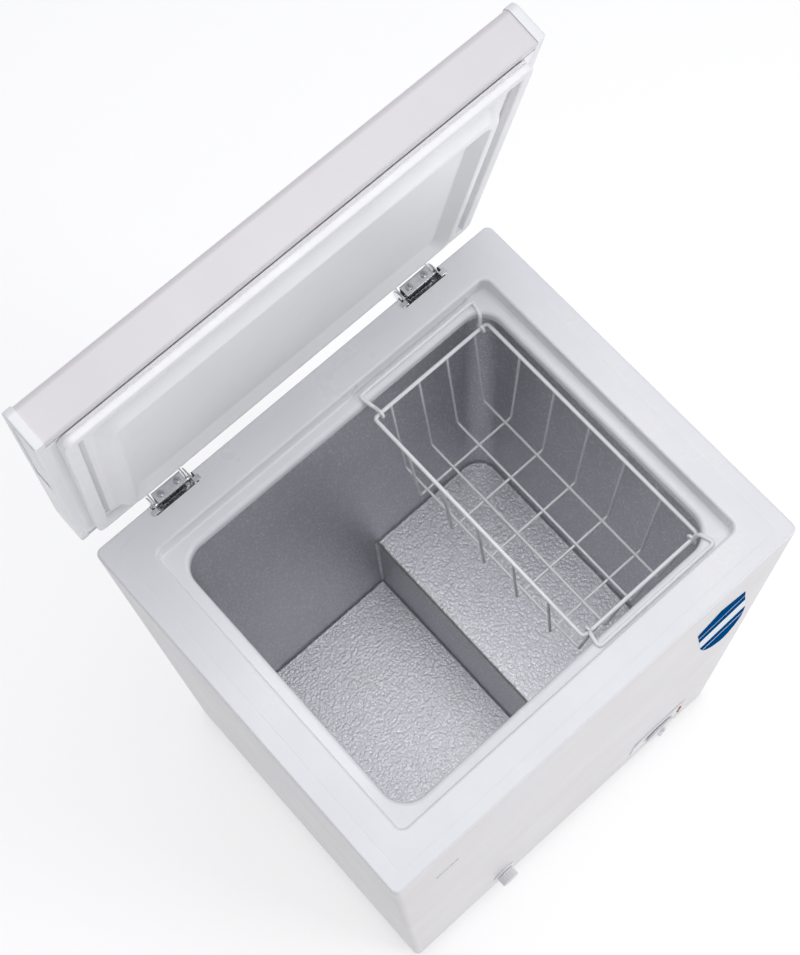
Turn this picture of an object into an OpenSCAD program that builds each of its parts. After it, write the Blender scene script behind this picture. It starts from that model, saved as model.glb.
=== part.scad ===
/* [Cabinet] */
// Width of the cabinet, left to right
body_w = 535; // [520:1:560]
// Depth of the cabinet, front to back
body_d = 454; // [440:1:480]
// Height of the cabinet from the top of the feet to the top of the collar
body_h = 780; // [760:1:820]
// Radius of the cabinet's upright corners
corner_r = 8; // [6:1:12]
// Height of the feet
foot_h = 12; // [10:1:20]
// Thickness of the painted steel sheet
sheet_t = 1; // [0.8:0.1:1.2]

/* [Chest] */
// Inside width of the liner
liner_w = 421; // [415:1:423]
// Inside depth of the liner
liner_d = 344; // [338:1:346]
// Radius of the liner's upright corners
liner_r = 29; // [26:1:32]
// Depth from the top of the collar to the floor of the liner
well_depth = 685; // [660:1:690]
// Depth from the top of the collar to the top of the compressor step
step_depth = 505; // [490:1:520]
// Distance of the step's riser to the right of the centre
step_x = 31; // [20:1:40]
// Width of the recess in the collar
recess_w = 447; // [440:1:450]
// Depth, front to back, of the recess in the collar
recess_d = 370; // [364:1:374]
// How far the basket ledge lies below the top of the collar
ledge_drop = 22; // [20:1:24]
// How far the lip reaches below the top of the collar
lip_drop = 35; // [33:1:38]

/* [Lid] */
// Height of the lid's skirt
lid_h = 41.5; // [38:0.5:46]
// Gap between the collar and the skirt when the lid is shut
lid_gap = 11.4; // [11:0.1:12]
// How far the lid's rear overhangs the cabinet
lid_overhang = 17; // [14:1:20]
// Radius of the lid's long top edges
lid_edge_r = 9; // [6:1:12]
// Angle that the lid opens to
open_angle = 79; // [70:1:85]
// Distance of each hinge from the centre
hinge_x = 168; // [150:1:180]
// How far the hinge pin lies below the top of the collar
pin_drop = 11.5; // [11:0.5:12]

/* [Basket] */
// Left side of the basket's rim
rim_x0 = 43.5; // [42:0.5:50]
// Right side of the basket's rim
rim_x1 = 203; // [195:0.5:204]
// Half the length of the basket's rim, front to back
rim_y = 158; // [150:1:158]
// Drop from the top of the collar to the rim
rim_drop = 44; // [43:1:48]
// Drop from the top of the collar to the basket's floor
basket_drop = 209; // [180:1:240]
// Radius of the rim wire
rim_wire_r = 2.3; // [2:0.1:2.4]
// Radius of the basket's thinner wires
mesh_wire_r = 1.6; // [1.4:0.1:1.8]
// Radius of the hanger wire
hanger_wire_r = 2.2; // [2:0.1:2.3]

/* [Front fittings] */
// Position of the control panel to the right of the centre
panel_x = 167; // [155:1:175]
// Height of the control panel's centre above the floor
panel_z = 105; // [95:1:115]
// Position of the drain outlet left of the centre
drain_x = -113; // [-130:1:-90]
// Height of the drain outlet's centre above the floor
drain_z = 92; // [88:1:94]
// Width of the shield-shaped label
label_w = 66; // [50:1:80]
// Height of the label's straight part
label_h = 125; // [80:1:140]
// Height of the label's pointed part
label_tip = 105; // [60:1:120]

/* [Hidden] */
$fn = 48;

top_z = foot_h + body_h;
half_w = body_w / 2;
half_d = body_d / 2;
floor_z = top_z - well_depth;
step_z = top_z - step_depth;
ledge_z = top_z - ledge_drop;
lip_z = top_z - lip_drop;
collar_t = 3;
liner_t = 1;
base_t = 1.2;

// Opening inside the lip, and the ring of plastic round it
open_w = liner_w - 3;
open_d = liner_d - 3;
open_r = liner_r - 1;

// Compressor compartment under the step
room_x = step_x + 60;
room_top = step_z - 60;

// Where the label's straight part ends
label_x = 196;
label_z = top_z - 215;

// Hinge line
pin_y = half_d;
pin_z = top_z - pin_drop;
pin_r = 3;
hinge_half = 24.4;
notch_half = 27.5;
notch_y = half_d - 13.5;
notch_z = top_z - 24;
base_plate_t = 1.5;

// Lid when shut
lid_y0 = -half_d + 1;
lid_y1 = half_d + lid_overhang;
lid_z = top_z + lid_gap;
cap_reach = 9.5;
cap_t = 1.5;
flange_t = 1.5;
plug_w = 436;
plug_d = 356;
plug_drop = 18;
panel_inset = 18;
panel_rise = 10;

// Basket and hangers
rim_z = top_z - rim_drop;
basket_z = top_z - basket_drop;
rim_bend = 6;
knee_y = rim_y - 16.5;
knee_x0 = rim_x0 + 12.5;
knee_x1 = rim_x1 - 8;
hanger_y = rim_y + 21;
hanger_z = ledge_z + 1.06 * hanger_wire_r + 0.1;

// Solid rectangle with four round corners, centred, between two heights
module round_block(w, d, r, z0, z1, fn = 48) {
    translate([0, 0, z0]) linear_extrude(z1 - z0) {
        square([w - 2 * r, d], center = true);
        square([w, d - 2 * r], center = true);
        for (x = [-1, 1], y = [-1, 1])
            translate([x * (w / 2 - r), y * (d / 2 - r)]) circle(r, $fn = fn);
    }
}

// Upright ring between two round blocks
module round_ring(w, d, r, t, z0, z1) {
    difference() {
        round_block(w, d, r, z0, z1);
        round_block(w - 2 * t, d - 2 * t, r - t, z0 - 1, z1 + 1);
    }
}

// Box given by its two opposite corners
module box(a, b) {
    translate(a) cube(b - a);
}

// Round bar from one point to another
module bar(a, b, r) {
    v = b - a;
    translate(a) rotate([0, acos(v.z / norm(v)), atan2(v.y, v.x)]) cylinder(r = r, h = norm(v));
}

function unit(v) = v / norm(v);
function turn(a, b) = acos(max(-1, min(1, unit(a) * unit(b))));

// Part of a ring that joins two straight bars at the corner p
module elbow(a, p, b, r, bend) {
    u = unit(p - a);
    v = unit(b - p);
    phi = turn(u, v);
    w = unit(cross(u, v));
    n = cross(w, u);
    start = p - u * bend * tan(phi / 2);
    centre = start + n * bend;
    x = -n;
    y = cross(w, x);
    multmatrix([[x.x, y.x, w.x, centre.x], [x.y, y.y, w.y, centre.y],
                [x.z, y.z, w.z, centre.z], [0, 0, 0, 1]])
        rotate_extrude(angle = phi) translate([bend, 0]) circle(r);
}

// How much of a straight run the elbow at corner i takes
function cut(pts, i, bend, closed) =
    let(n = len(pts))
    !closed && (i == 0 || i == n - 1) ? 0 :
    bend * tan(turn(pts[i] - pts[(i + n - 1) % n], pts[(i + 1) % n] - pts[i]) / 2);

// Bent wire or tube through a list of points
module wire(pts, r, bend, closed = false) {
    n = len(pts);
    for (i = [0 : n - (closed ? 1 : 2)]) {
        a = pts[i];
        b = pts[(i + 1) % n];
        u = unit(b - a);
        bar(a + u * cut(pts, i, bend, closed), b - u * cut(pts, (i + 1) % n, bend, closed), r);
    }
    for (i = [closed ? 0 : 1 : n - (closed ? 1 : 2)])
        elbow(pts[(i + n - 1) % n], pts[i], pts[(i + 1) % n], r, bend);
}

// Wire with welded-looking knees, for corners that aren't square
module kinked(pts, r) {
    for (i = [0 : len(pts) - 2]) bar(pts[i], pts[i + 1], r);
    for (i = [1 : len(pts) - 2]) translate(pts[i]) sphere(r * 1.06, $fn = 32);
}

// Places its children once at each hinge
module at_hinges() {
    for (side = [-1, 1]) translate([side * hinge_x, 0, 0]) children();
}

// Swings the lid's pieces from shut to the open rest position
module opened() {
    translate([0, pin_y, pin_z]) rotate([-open_angle, 0, 0]) translate([0, -pin_y, -pin_z])
        children();
}

// ---------------------------------------------------------------- cabinet

module hinge_notches(y1) {
    at_hinges() box([-notch_half, notch_y, notch_z], [notch_half, y1, top_z + 1]);
}

module cabinet_wrap() color("#f1f1f2") {
    seam_x = half_w - 14;
    difference() {
        round_ring(body_w, body_d, corner_r, sheet_t, foot_h, top_z - collar_t);
        box([-seam_x, half_d - 5, foot_h - 1], [seam_x, half_d + 1, top_z]);
        translate([panel_x, -half_d, panel_z]) cube([84, 20, 72], center = true);
        translate([drain_x, -half_d, drain_z]) rotate([90, 0, 0])
            cylinder(r = 9, h = 20, center = true);
    }
}

module rear_panel() color("#e6e6e8") {
    seam_x = half_w - 14;
    difference() {
        box([-seam_x, half_d - sheet_t, foot_h], [seam_x, half_d, top_z - collar_t]);
        hinge_notches(half_d + 2);
        box([room_x + 20, half_d - 5, 36], [half_w - 30, half_d + 5, room_top - 36]);
        at_hinges() for (x = [-12, 12]) translate([x, half_d, notch_z - 20]) rotate([90, 0, 0])
            cylinder(r = 2, h = 20, center = true);
        translate([room_x + 14, half_d, room_top - 14]) rotate([90, 0, 0])
            cylinder(r = 7, h = 20, center = true);
    }
}

module base_pan() color("#b9bcc0") {
    round_block(body_w - 2 * sheet_t, body_d - 2 * sheet_t, corner_r - sheet_t,
                foot_h, foot_h + base_t);
}

module liner_shape(grow, z_extra) {
    difference() {
        round_block(liner_w + 2 * grow, liner_d + 2 * grow, liner_r + grow,
                    floor_z - grow, lip_z + z_extra);
        box([step_x + grow, -half_d, floor_z - 10], [half_w, half_d, step_z - grow]);
    }
}

module inner_liner() color("#b4b6ba") {
    difference() {
        liner_shape(liner_t, 0);
        liner_shape(0, 1);
        translate([drain_x, -140, floor_z - 5]) cylinder(r = 9, h = 10);
    }
}

module collar_bowl() {
    round_block(recess_w + 2 * collar_t, recess_d + 2 * collar_t, 12, ledge_z - collar_t, top_z);
    round_block(open_w + 2 * collar_t, open_d + 2 * collar_t, open_r + collar_t, lip_z, top_z);
}

module top_collar() color("#ececf0") {
    difference() {
        union() {
            round_block(body_w, body_d, corner_r, top_z - collar_t, top_z);
            collar_bowl();
        }
        round_block(recess_w, recess_d, 9, ledge_z, top_z + 1);
        round_block(open_w, open_d, open_r, lip_z - 1, top_z);
        hinge_notches(half_d + 2);
    }
}

module drain_void(tube_r, sump_r) {
    translate([drain_x, -half_d - 1, drain_z]) rotate([-90, 0, 0])
        cylinder(r = tube_r, h = half_d - 140 + 1);
    translate([drain_x, -140, drain_z - 9]) cylinder(r = sump_r, h = floor_z - liner_t - drain_z + 9);
}

module cabinet_foam() color("#e8dcae") {
    difference() {
        round_block(body_w - 2 * sheet_t, body_d - 2 * sheet_t, corner_r - sheet_t,
                    foot_h + base_t, top_z - collar_t);
        liner_shape(liner_t, 0.001);
        collar_bowl();
        box([room_x, -half_d, foot_h], [half_w, half_d, room_top]);
        hinge_notches(half_d);
        drain_void(8, 12);
    }
}

module drain_tube() color("#f4f4f4") {
    difference() {
        union() {
            translate([drain_x, -half_d + sheet_t, drain_z]) rotate([-90, 0, 0])
                cylinder(r = 8, h = half_d - 140 - sheet_t);
            translate([drain_x, -140, drain_z - 9])
                cylinder(r = 12, h = floor_z - liner_t - drain_z + 9);
        }
        translate([drain_x, -half_d, drain_z]) rotate([-90, 0, 0])
            cylinder(r = 6, h = half_d - 140);
        translate([drain_x, -140, drain_z - 7]) cylinder(r = 9.5, h = 60);
    }
}

// ------------------------------------------------------- sealed coils

// Serpentine that warms the inside of both side skins
module condenser_coil() color("#8a5a3a") {
    tube_r = 2.4;
    pitch = 80;
    runs = 7;
    side_x = half_w - sheet_t - tube_r - 0.2;
    for (side = [-1, 1]) {
        z0 = room_top + 30;
        reach = 180;
        pts = [for (i = [0 : runs - 1], k = [0, 1])
            [side * side_x, (i % 2 == k ? -reach : reach), z0 + i * pitch]];
        wire(pts, tube_r, 25);
    }
}

// Tube wound round the liner above the step
module evaporator_coil() color("#a9693f") {
    tube_r = 4;
    gap = 0.3;
    x = liner_w / 2 + liner_t + tube_r + gap;
    y = liner_d / 2 + liner_t + tube_r + gap;
    for (z = [step_z + 30 : 70 : ledge_z - 60])
        wire([[-x, -y, z], [x, -y, z], [x, y, z], [-x, y, z]], tube_r, liner_r + tube_r + 2, true);
}

// ------------------------------------------------- compressor compartment

comp_x = room_x + 88;
comp_y = 95;
comp_z = 116;
lug_x = 62;
lug_y = 44;

module at_lugs() {
    for (x = [-lug_x, lug_x], y = [-lug_y, lug_y])
        translate([comp_x + x, comp_y + y, 0]) children();
}

module compressor_partition() color("#aeb1b5") {
    x1 = half_w - sheet_t;
    y1 = half_d - sheet_t;
    box([room_x, -y1, foot_h + base_t], [room_x + 1, y1, room_top]);
    intersection() {
        box([room_x, -y1, room_top - 1], [x1, y1, room_top]);
        round_block(body_w - 2 * sheet_t - 0.2, body_d - 2 * sheet_t, corner_r - sheet_t + 0.5, 0, top_z);
    }
}

module compressor_tray() color("#9b9ea2") {
    box([room_x + 1, comp_y - 75, foot_h + base_t], [half_w - sheet_t, comp_y + 75, foot_h + base_t + 2]);
}

module compressor_shell() color("#1d1e20") {
    difference() {
        union() {
            translate([comp_x, comp_y, comp_z]) intersection() {
                cylinder(r = 60, h = 170, center = true, $fn = 96);
                sphere(80, $fn = 96);
            }
            translate([comp_x, comp_y, comp_z]) cylinder(r = 62, h = 4, center = true, $fn = 96);
            box([comp_x - 74, comp_y - 56, 44], [comp_x + 74, comp_y + 56, 47]);
        }
        at_lugs() cylinder(r = 3.3, h = 60);
    }
}

module compressor_grommets() color("#222222") {
    at_lugs() difference() {
        translate([0, 0, foot_h + base_t + 2]) cylinder(r = 11, h = 44 - foot_h - base_t - 2);
        cylinder(r = 3.3, h = 60);
    }
}

module compressor_bolts() color("#c9ccd0") {
    at_lugs() {
        translate([0, 0, foot_h + base_t + 2]) cylinder(r = 3, h = 37);
        translate([0, 0, 47.2]) cylinder(r = 5.5, h = 5, $fn = 6);
    }
}

module terminal_cover() color("#2b2c2e") {
    difference() {
        box([comp_x - 24, comp_y - 86, comp_z - 28], [comp_x + 24, comp_y - 52, comp_z + 22]);
        translate([comp_x, comp_y, 0]) cylinder(r = 62.2, h = 240, $fn = 96);
    }
}

drier_y = -20;
drier_x = room_x + 22;

module filter_drier() color("#b87333") {
    translate([drier_x, drier_y, 100]) rotate_extrude()
        polygon([[0, 0], [3.5, 0], [3.5, 8], [9, 16], [9, 84], [3.5, 92], [3.5, 100], [0, 100]]);
}

module suction_tube() color("#c07a45") {
    wire([[comp_x - 30, comp_y, 183], [comp_x - 30, comp_y, 206], [room_x + 20, comp_y, 206],
          [room_x + 20, comp_y + 60, 206], [room_x + 20, comp_y + 60, room_top - 1]], 4, 8);
}

module discharge_tube() color("#c07a45") {
    wire([[comp_x + 30, comp_y, 183], [comp_x + 30, comp_y, 206], [comp_x + 30, comp_y - 80, 206],
          [comp_x + 30, comp_y - 80, room_top - 1]], 2.5, 8);
}

module capillary_tube() color("#c98a55") {
    wire([[drier_x, drier_y, 200], [drier_x, drier_y, 212], [drier_x + 30, drier_y, 212],
          [drier_x + 30, drier_y, room_top - 1]], 1.5, 5);
    wire([[drier_x, drier_y, 100], [drier_x, drier_y, 80], [drier_x, drier_y - 60, 80],
          [drier_x, drier_y - 60, room_top - 1]], 2.5, 8);
}

// ----------------------------------------------------------- front fittings

// Round-cornered plate standing on the cabinet's front
module front_plate(x, z, w, h, r, y_out, y_in) {
    translate([x, 0, z]) rotate([90, 0, 0]) round_block(w, h, r, -y_in, y_out);
}

module control_panel() color("#f2f2f4") {
    difference() {
        union() {
            front_plate(panel_x, panel_z, 98, 86, 20, half_d + 2, -half_d);
            front_plate(panel_x, panel_z, 82, 70, 8, half_d + 0.001, -half_d + 16);
        }
        front_plate(panel_x, panel_z, 78, 66, 6, half_d - 1, -half_d + 20);
        translate([panel_x, -half_d, panel_z]) rotate([90, 0, 0])
            cylinder(r = 4.5, h = 20, center = true);
        for (i = [-1, 0, 1]) translate([panel_x + 38, -half_d, panel_z + i * 13])
            rotate([90, 0, 0]) cylinder(r = 2.5, h = 20, center = true);
    }
}

module thermostat_body() color("#d9d9dc") {
    box([panel_x - 18, -half_d + 1, panel_z - 20], [panel_x + 18, -half_d + 30, panel_z + 20]);
    translate([panel_x, -half_d + 2, panel_z]) rotate([90, 0, 0]) cylinder(r = 3, h = 7);
}

module indicator_lenses() color("#5aa66a") {
    for (i = [-1, 0, 1]) translate([panel_x + 38, -half_d + 1, panel_z + i * 13])
        rotate([90, 0, 0]) cylinder(r = 2.4, h = 3.8);
}

module thermostat_knob() color("#fafafa") {
    translate([panel_x, -half_d - 2.4, panel_z]) rotate([90, 0, 0]) difference() {
        union() {
            cylinder(r = 24, h = 2.5);
            cylinder(r = 21, h = 4);
            translate([-4, -20, 3.5]) cube([8, 40, 4.5]);
        }
        translate([0, 0, -1]) cylinder(r = 3.05, h = 5);
    }
}

module drain_outlet() color("#f5f5f6") {
    translate([drain_x, -half_d, drain_z]) rotate([90, 0, 0]) difference() {
        union() {
            cylinder(r = 17, h = 3);
            cylinder(r = 9, h = 13);
            translate([0, 0, -sheet_t]) cylinder(r = 8.5, h = 3);
        }
        translate([0, 0, -5]) cylinder(r = 6, h = 30);
    }
}

module drain_cap() color("#fafafa") {
    translate([drain_x, -half_d - 3.3, drain_z]) rotate([90, 0, 0]) difference() {
        cylinder(r = 13.2, h = 13);
        translate([0, 0, -1]) cylinder(r = 9.4, h = 11.2);
    }
}

module drain_plug() color("#f5f5f5") {
    translate([drain_x, -140, floor_z + 0.1]) {
        translate([0, 0, -8]) cylinder(r = 8.5, h = 9);
        cylinder(r = 14, h = 3.5);
        translate([-1.5, -7, 3]) cube([3, 14, 9]);
    }
}

// Shield-shaped sticker: a rectangle above, two arcs that meet in a point below
module front_label() color("#0b5f97") {
    arc_offset = (label_tip * label_tip - label_w * label_w / 4) / label_w;
    translate([label_x, -half_d, label_z]) rotate([90, 0, 0]) linear_extrude(0.4) {
        translate([-label_w / 2, 0]) square([label_w, label_h]);
        intersection() {
            translate([-arc_offset, 0]) circle(arc_offset + label_w / 2, $fn = 96);
            translate([arc_offset, 0]) circle(arc_offset + label_w / 2, $fn = 96);
            translate([-label_w / 2, -label_tip]) square([label_w, label_tip]);
        }
    }
}

module front_badge() color("#b9bbbf") {
    front_plate(-204, top_z - 136, 30, 7, 2, half_d + 0.6, -half_d);
}

// -------------------------------------------------------- rear and underside

grille_x0 = room_x + 10;
grille_x1 = half_w - 20;
grille_z0 = 26;
grille_z1 = room_top - 28;

module at_grille_corners() {
    for (x = [grille_x0 + 6, grille_x1 - 6], z = [grille_z0 + 6, grille_z1 - 6])
        translate([x, half_d + 2, z]) rotate([-90, 0, 0]) children();
}

module rear_grille() color("#3a3b3e") {
    slots = 9;
    pitch = (grille_z1 - grille_z0 - 40) / (slots - 1);
    difference() {
        box([grille_x0, half_d, grille_z0], [grille_x1, half_d + 2, grille_z1]);
        for (i = [0 : slots - 1]) translate([grille_x0 + 16, half_d - 1, grille_z0 + 17 + i * pitch])
            cube([grille_x1 - grille_x0 - 32, 5, 6]);
    }
}

module grille_screws() color("#c8cacd") {
    at_grille_corners() cylinder(r = 3.5, h = 1.8);
}

module power_inlet() color("#2a2a2c") {
    translate([room_x + 14, half_d - 12, room_top - 14]) rotate([-90, 0, 0]) difference() {
        union() {
            cylinder(r = 6.8, h = 22);
            translate([0, 0, 12]) cylinder(r = 11, h = 3);
        }
        translate([0, 0, -1]) cylinder(r = 3.6, h = 30);
    }
}

module feet() color("#2c2d30") {
    for (x = [-1, 1], y = [-1, 1]) translate([x * (half_w - 38), y * (half_d - 38), 0]) {
        cylinder(r = 19, h = 5);
        cylinder(r = 13, h = foot_h);
    }
}

// --------------------------------------------------------------------- hinges

module hinge_base(side) color("#c5c7cb") {
    translate([side * hinge_x, 0, 0]) difference() {
        union() {
            for (x = [-hinge_half, hinge_half - base_plate_t]) {
                box([x, notch_y + 1, notch_z], [x + base_plate_t, half_d + 5, top_z]);
                translate([x, pin_y, pin_z]) rotate([0, 90, 0])
                    cylinder(r = pin_drop + 1, h = base_plate_t);
            }
            box([-hinge_half, notch_y + 1, notch_z], [hinge_half, half_d + 2, notch_z + base_plate_t]);
            box([-hinge_half, half_d, notch_z - 34], [hinge_half, half_d + 2, notch_z + base_plate_t]);
            for (x = [-1, 1]) translate([x * (hinge_half + 2.5), notch_y + 4, top_z + 0.75])
                cube([8, 6, 1.5], center = true);
        }
        translate([-40, pin_y, pin_z]) rotate([0, 90, 0]) cylinder(r = pin_r + 0.03, h = 80);
        for (x = [-12, 12]) translate([x, half_d, notch_z - 20]) rotate([90, 0, 0])
            cylinder(r = 2, h = 20, center = true);
    }
}

module hinge_pins() color("#d5d7da") {
    at_hinges() translate([0, pin_y, pin_z]) rotate([0, 90, 0]) {
        cylinder(r = pin_r, h = 2 * hinge_half + 1, center = true);
        for (x = [-1, 1]) translate([0, 0, x * (hinge_half + 1.2)])
            cylinder(r = 4.5, h = 1.4, center = true);
    }
}

module hinge_springs() color("#8d9095") {
    at_hinges() translate([-17, pin_y, pin_z]) rotate([0, 90, 0]) rotate_extrude() difference() {
        translate([3.5, 0]) square([2.5, 34]);
        for (i = [0 : 10]) translate([6.2, 2 + i * 3]) circle(0.8);
    }
}

module hinge_screws() color("#d5d7da") {
    at_hinges() for (x = [-12, 12]) translate([x, half_d - sheet_t, notch_z - 20])
        rotate([-90, 0, 0]) {
            cylinder(r = 1.95, h = sheet_t + 3);
            translate([0, 0, sheet_t + 2]) cylinder(r = 4, h = 2);
        }
}

// Leaf fixed under the lid, drawn with the lid shut
leaf_cheek = 20;

module hinge_leaf(side) color("#c5c7cb") opened() {
    translate([side * hinge_x, 0, 0]) difference() {
        union() {
            box([-leaf_cheek - 1.5, lid_y0 + 439, lid_z - 1.5], [leaf_cheek + 1.5, lid_y1 - 3, lid_z]);
            for (x = [-leaf_cheek - 1.5, leaf_cheek]) {
                box([x, pin_y - 6, pin_z], [x + 1.5, pin_y + 6, lid_z]);
                translate([x, pin_y, pin_z]) rotate([0, 90, 0]) cylinder(r = 6, h = 1.5);
            }
        }
        translate([-40, pin_y, pin_z]) rotate([0, 90, 0]) cylinder(r = pin_r + 0.06, h = 80);
        for (x = [-10, 10]) translate([x, pin_y - 8.5, lid_z]) cylinder(r = 2, h = 10, center = true);
    }
}

module leaf_screws() color("#d5d7da") opened() {
    at_hinges() for (x = [-10, 10]) translate([x, pin_y - 8.5, lid_z - 3.4]) {
        cylinder(r = 3.4, h = 1.9);
        cylinder(r = 1.95, h = 3.4 + flange_t);
    }
}

// ------------------------------------------------------------------------ lid

// Closed end view of the lid, grown by g, extruded along X
module lid_bar(g, x0, x1) {
    y0 = lid_y0 - g;
    y1 = lid_y1 + g;
    z1 = lid_z + lid_h + g;
    r = lid_edge_r + g;
    translate([x0, 0, 0]) rotate([90, 0, 90]) linear_extrude(x1 - x0) {
        translate([y0, lid_z]) square([y1 - y0, z1 - r - lid_z]);
        translate([y0 + r, lid_z]) square([y1 - y0 - 2 * r, z1 - lid_z]);
        for (y = [y0 + r, y1 - r]) translate([y, z1 - r]) circle(r, $fn = 48);
    }
}

cap_x = half_w - cap_reach;

module lid_skin() color("#f2f2f3") opened() {
    difference() {
        lid_bar(-cap_t, -half_w + 4, half_w - 4);
        lid_bar(-cap_t - sheet_t, -half_w, half_w);
    }
}

module lid_end_cap(side) color("#efeff2") opened() {
    mirror([side < 0 ? 1 : 0, 0, 0]) difference() {
        lid_bar(0, cap_x, half_w);
        lid_bar(-cap_t, cap_x - 1, half_w - 4);
        translate([half_w, (lid_y0 + lid_y1) / 2, lid_z + lid_h / 2]) rotate([0, 90, 0])
            cylinder(r = 4.2, h = 3, center = true);
    }
}

module end_cap_screws() color("#d8d8db") opened() {
    for (side = [-1, 1]) translate([side * (half_w - 1), (lid_y0 + lid_y1) / 2, lid_z + lid_h / 2])
        rotate([0, 90, 0]) cylinder(r = 4, h = 1, center = true);
}

module plug_steps(g, z0) {
    round_block(plug_w + 2 * g, plug_d + 2 * g, 14 + g, z0, lid_z + flange_t);
}

module lid_liner() color("#f0f0f3") opened() {
    inner_w = plug_w - 2 * panel_inset;
    inner_d = plug_d - 2 * panel_inset;
    difference() {
        union() {
            box([-half_w + 5, lid_y0 + 3, lid_z], [half_w - 5, lid_y1 - 3, lid_z + flange_t]);
            plug_steps(0, lid_z - plug_drop);
        }
        plug_steps(-flange_t, lid_z - plug_drop + flange_t);
        round_block(inner_w, inner_d, 10, lid_z - plug_drop - 1, lid_z - plug_drop + panel_rise);
        at_hinges() for (x = [-10, 10]) translate([x, pin_y - 8.5, lid_z]) cylinder(r = 2, h = 10, center = true);
        translate([172, -189, lid_z]) cylinder(r = 2, h = 10, center = true);
    }
    difference() {
        round_block(inner_w + 2 * flange_t, inner_d + 2 * flange_t, 11, lid_z - plug_drop + 0.5,
                    lid_z - plug_drop + panel_rise + flange_t);
        round_block(inner_w, inner_d, 10, lid_z - plug_drop - 1, lid_z - plug_drop + panel_rise);
    }
}

module lid_foam() color("#e8dcae") opened() {
    inner_w = plug_w - 2 * panel_inset + 2 * flange_t;
    inner_d = plug_d - 2 * panel_inset + 2 * flange_t;
    difference() {
        union() {
            difference() {
                lid_bar(-cap_t - sheet_t, -half_w + 4, half_w - 4);
                box([-half_w, lid_y0 - 1, lid_z - 1], [half_w, lid_y1 + 1, lid_z + flange_t]);
            }
            plug_steps(-flange_t, lid_z - plug_drop + flange_t);
        }
        round_block(inner_w, inner_d, 11, lid_z - plug_drop, lid_z - plug_drop + panel_rise + flange_t);
        at_hinges() for (x = [-10, 10]) translate([x, pin_y - 8.5, lid_z]) cylinder(r = 2, h = 10, center = true);
        translate([172, -189, lid_z]) cylinder(r = 2.2, h = 14, center = true);
    }
}

module lid_gasket() color("#f4f4f6") opened() {
    difference() {
        round_block(499, 423, 10, top_z + 0.4, lid_z);
        round_block(473, 397, 6, top_z - 1, lid_z + 1);
    }
}

module lid_vent_plug() color("#55565a") opened() {
    translate([172, -189, lid_z - 1]) cylinder(r = 3.2, h = 1);
    translate([172, -189, lid_z - 1]) cylinder(r = 1.9, h = 5);
}

// --------------------------------------------------------------------- basket

module basket_rim() color("white") {
    wire([[rim_x0, -rim_y, rim_z], [rim_x1, -rim_y, rim_z],
          [rim_x1, rim_y, rim_z], [rim_x0, rim_y, rim_z]], rim_wire_r, rim_bend, true);
}

long_xs = [66, 105.5, 145, 185];
cross_ys = [-106, -53, 0, 53, 106];

module basket_long_wires() color("white") {
    for (x = long_xs)
        kinked([[x, -rim_y + 0.5, rim_z - 1.5], [x, -knee_y, basket_z], [x, knee_y, basket_z],
                [x, rim_y - 0.5, rim_z - 1.5]], mesh_wire_r);
}

module basket_cross_wires() color("white") {
    z = basket_z - 2 * mesh_wire_r + 0.1;
    for (y = cross_ys)
        kinked([[rim_x0 + 0.5, y, rim_z - 1.5], [knee_x0, y, z], [knee_x1, y, z],
                [rim_x1 - 0.5, y, rim_z - 1.5]], mesh_wire_r);
}

// Swinging hanger: an eye on the rim's end wire at each side and a bar on the ledge
module hanger() {
    eye_in = 8.5;
    eye_r = 4.8;
    x0 = rim_x0 + eye_in;
    x1 = rim_x1 - eye_in;
    foot = [0, rim_y + 1.6, rim_z + 4.5];
    knee = [0, rim_y + 4, hanger_z];
    for (x = [x0, x1]) translate([x, rim_y, rim_z]) rotate([0, 90, 0])
        rotate_extrude() translate([eye_r, 0]) circle(1.9);
    kinked([foot + [x0, 0, 0], knee + [rim_x0 + 2.5, 0, 0], [rim_x0 - 1, hanger_y, hanger_z],
            [rim_x1 - 1, hanger_y, hanger_z], knee + [rim_x1 - 6, 0, 0], foot + [x1, 0, 0]],
           hanger_wire_r);
}

module hanger_rear() color("white") hanger();

module hanger_front() color("white") mirror([0, 1, 0]) hanger();

cabinet_wrap();
rear_panel();
base_pan();
cabinet_foam();
inner_liner();
top_collar();
condenser_coil();
evaporator_coil();
compressor_partition();
compressor_tray();
compressor_shell();
compressor_grommets();
compressor_bolts();
terminal_cover();
filter_drier();
suction_tube();
discharge_tube();
capillary_tube();
control_panel();
thermostat_body();
indicator_lenses();
thermostat_knob();
rear_grille();
grille_screws();
power_inlet();
feet();
drain_tube();
drain_outlet();
drain_cap();
drain_plug();
front_label();
front_badge();
hinge_base(-1);  // hinge_base_left
hinge_base(1);  // hinge_base_right
hinge_pins();
hinge_springs();
hinge_screws();
lid_skin();
lid_end_cap(-1);  // lid_end_cap_left
lid_end_cap(1);  // lid_end_cap_right
lid_foam();
lid_liner();
lid_gasket();
lid_vent_plug();
end_cap_screws();
hinge_leaf(-1);  // hinge_leaf_left
hinge_leaf(1);  // hinge_leaf_right
leaf_screws();
basket_rim();
basket_long_wires();
basket_cross_wires();
hanger_front();
hanger_rear();
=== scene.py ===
import math

import bmesh
import bpy
from mathutils import Matrix, Vector


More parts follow.
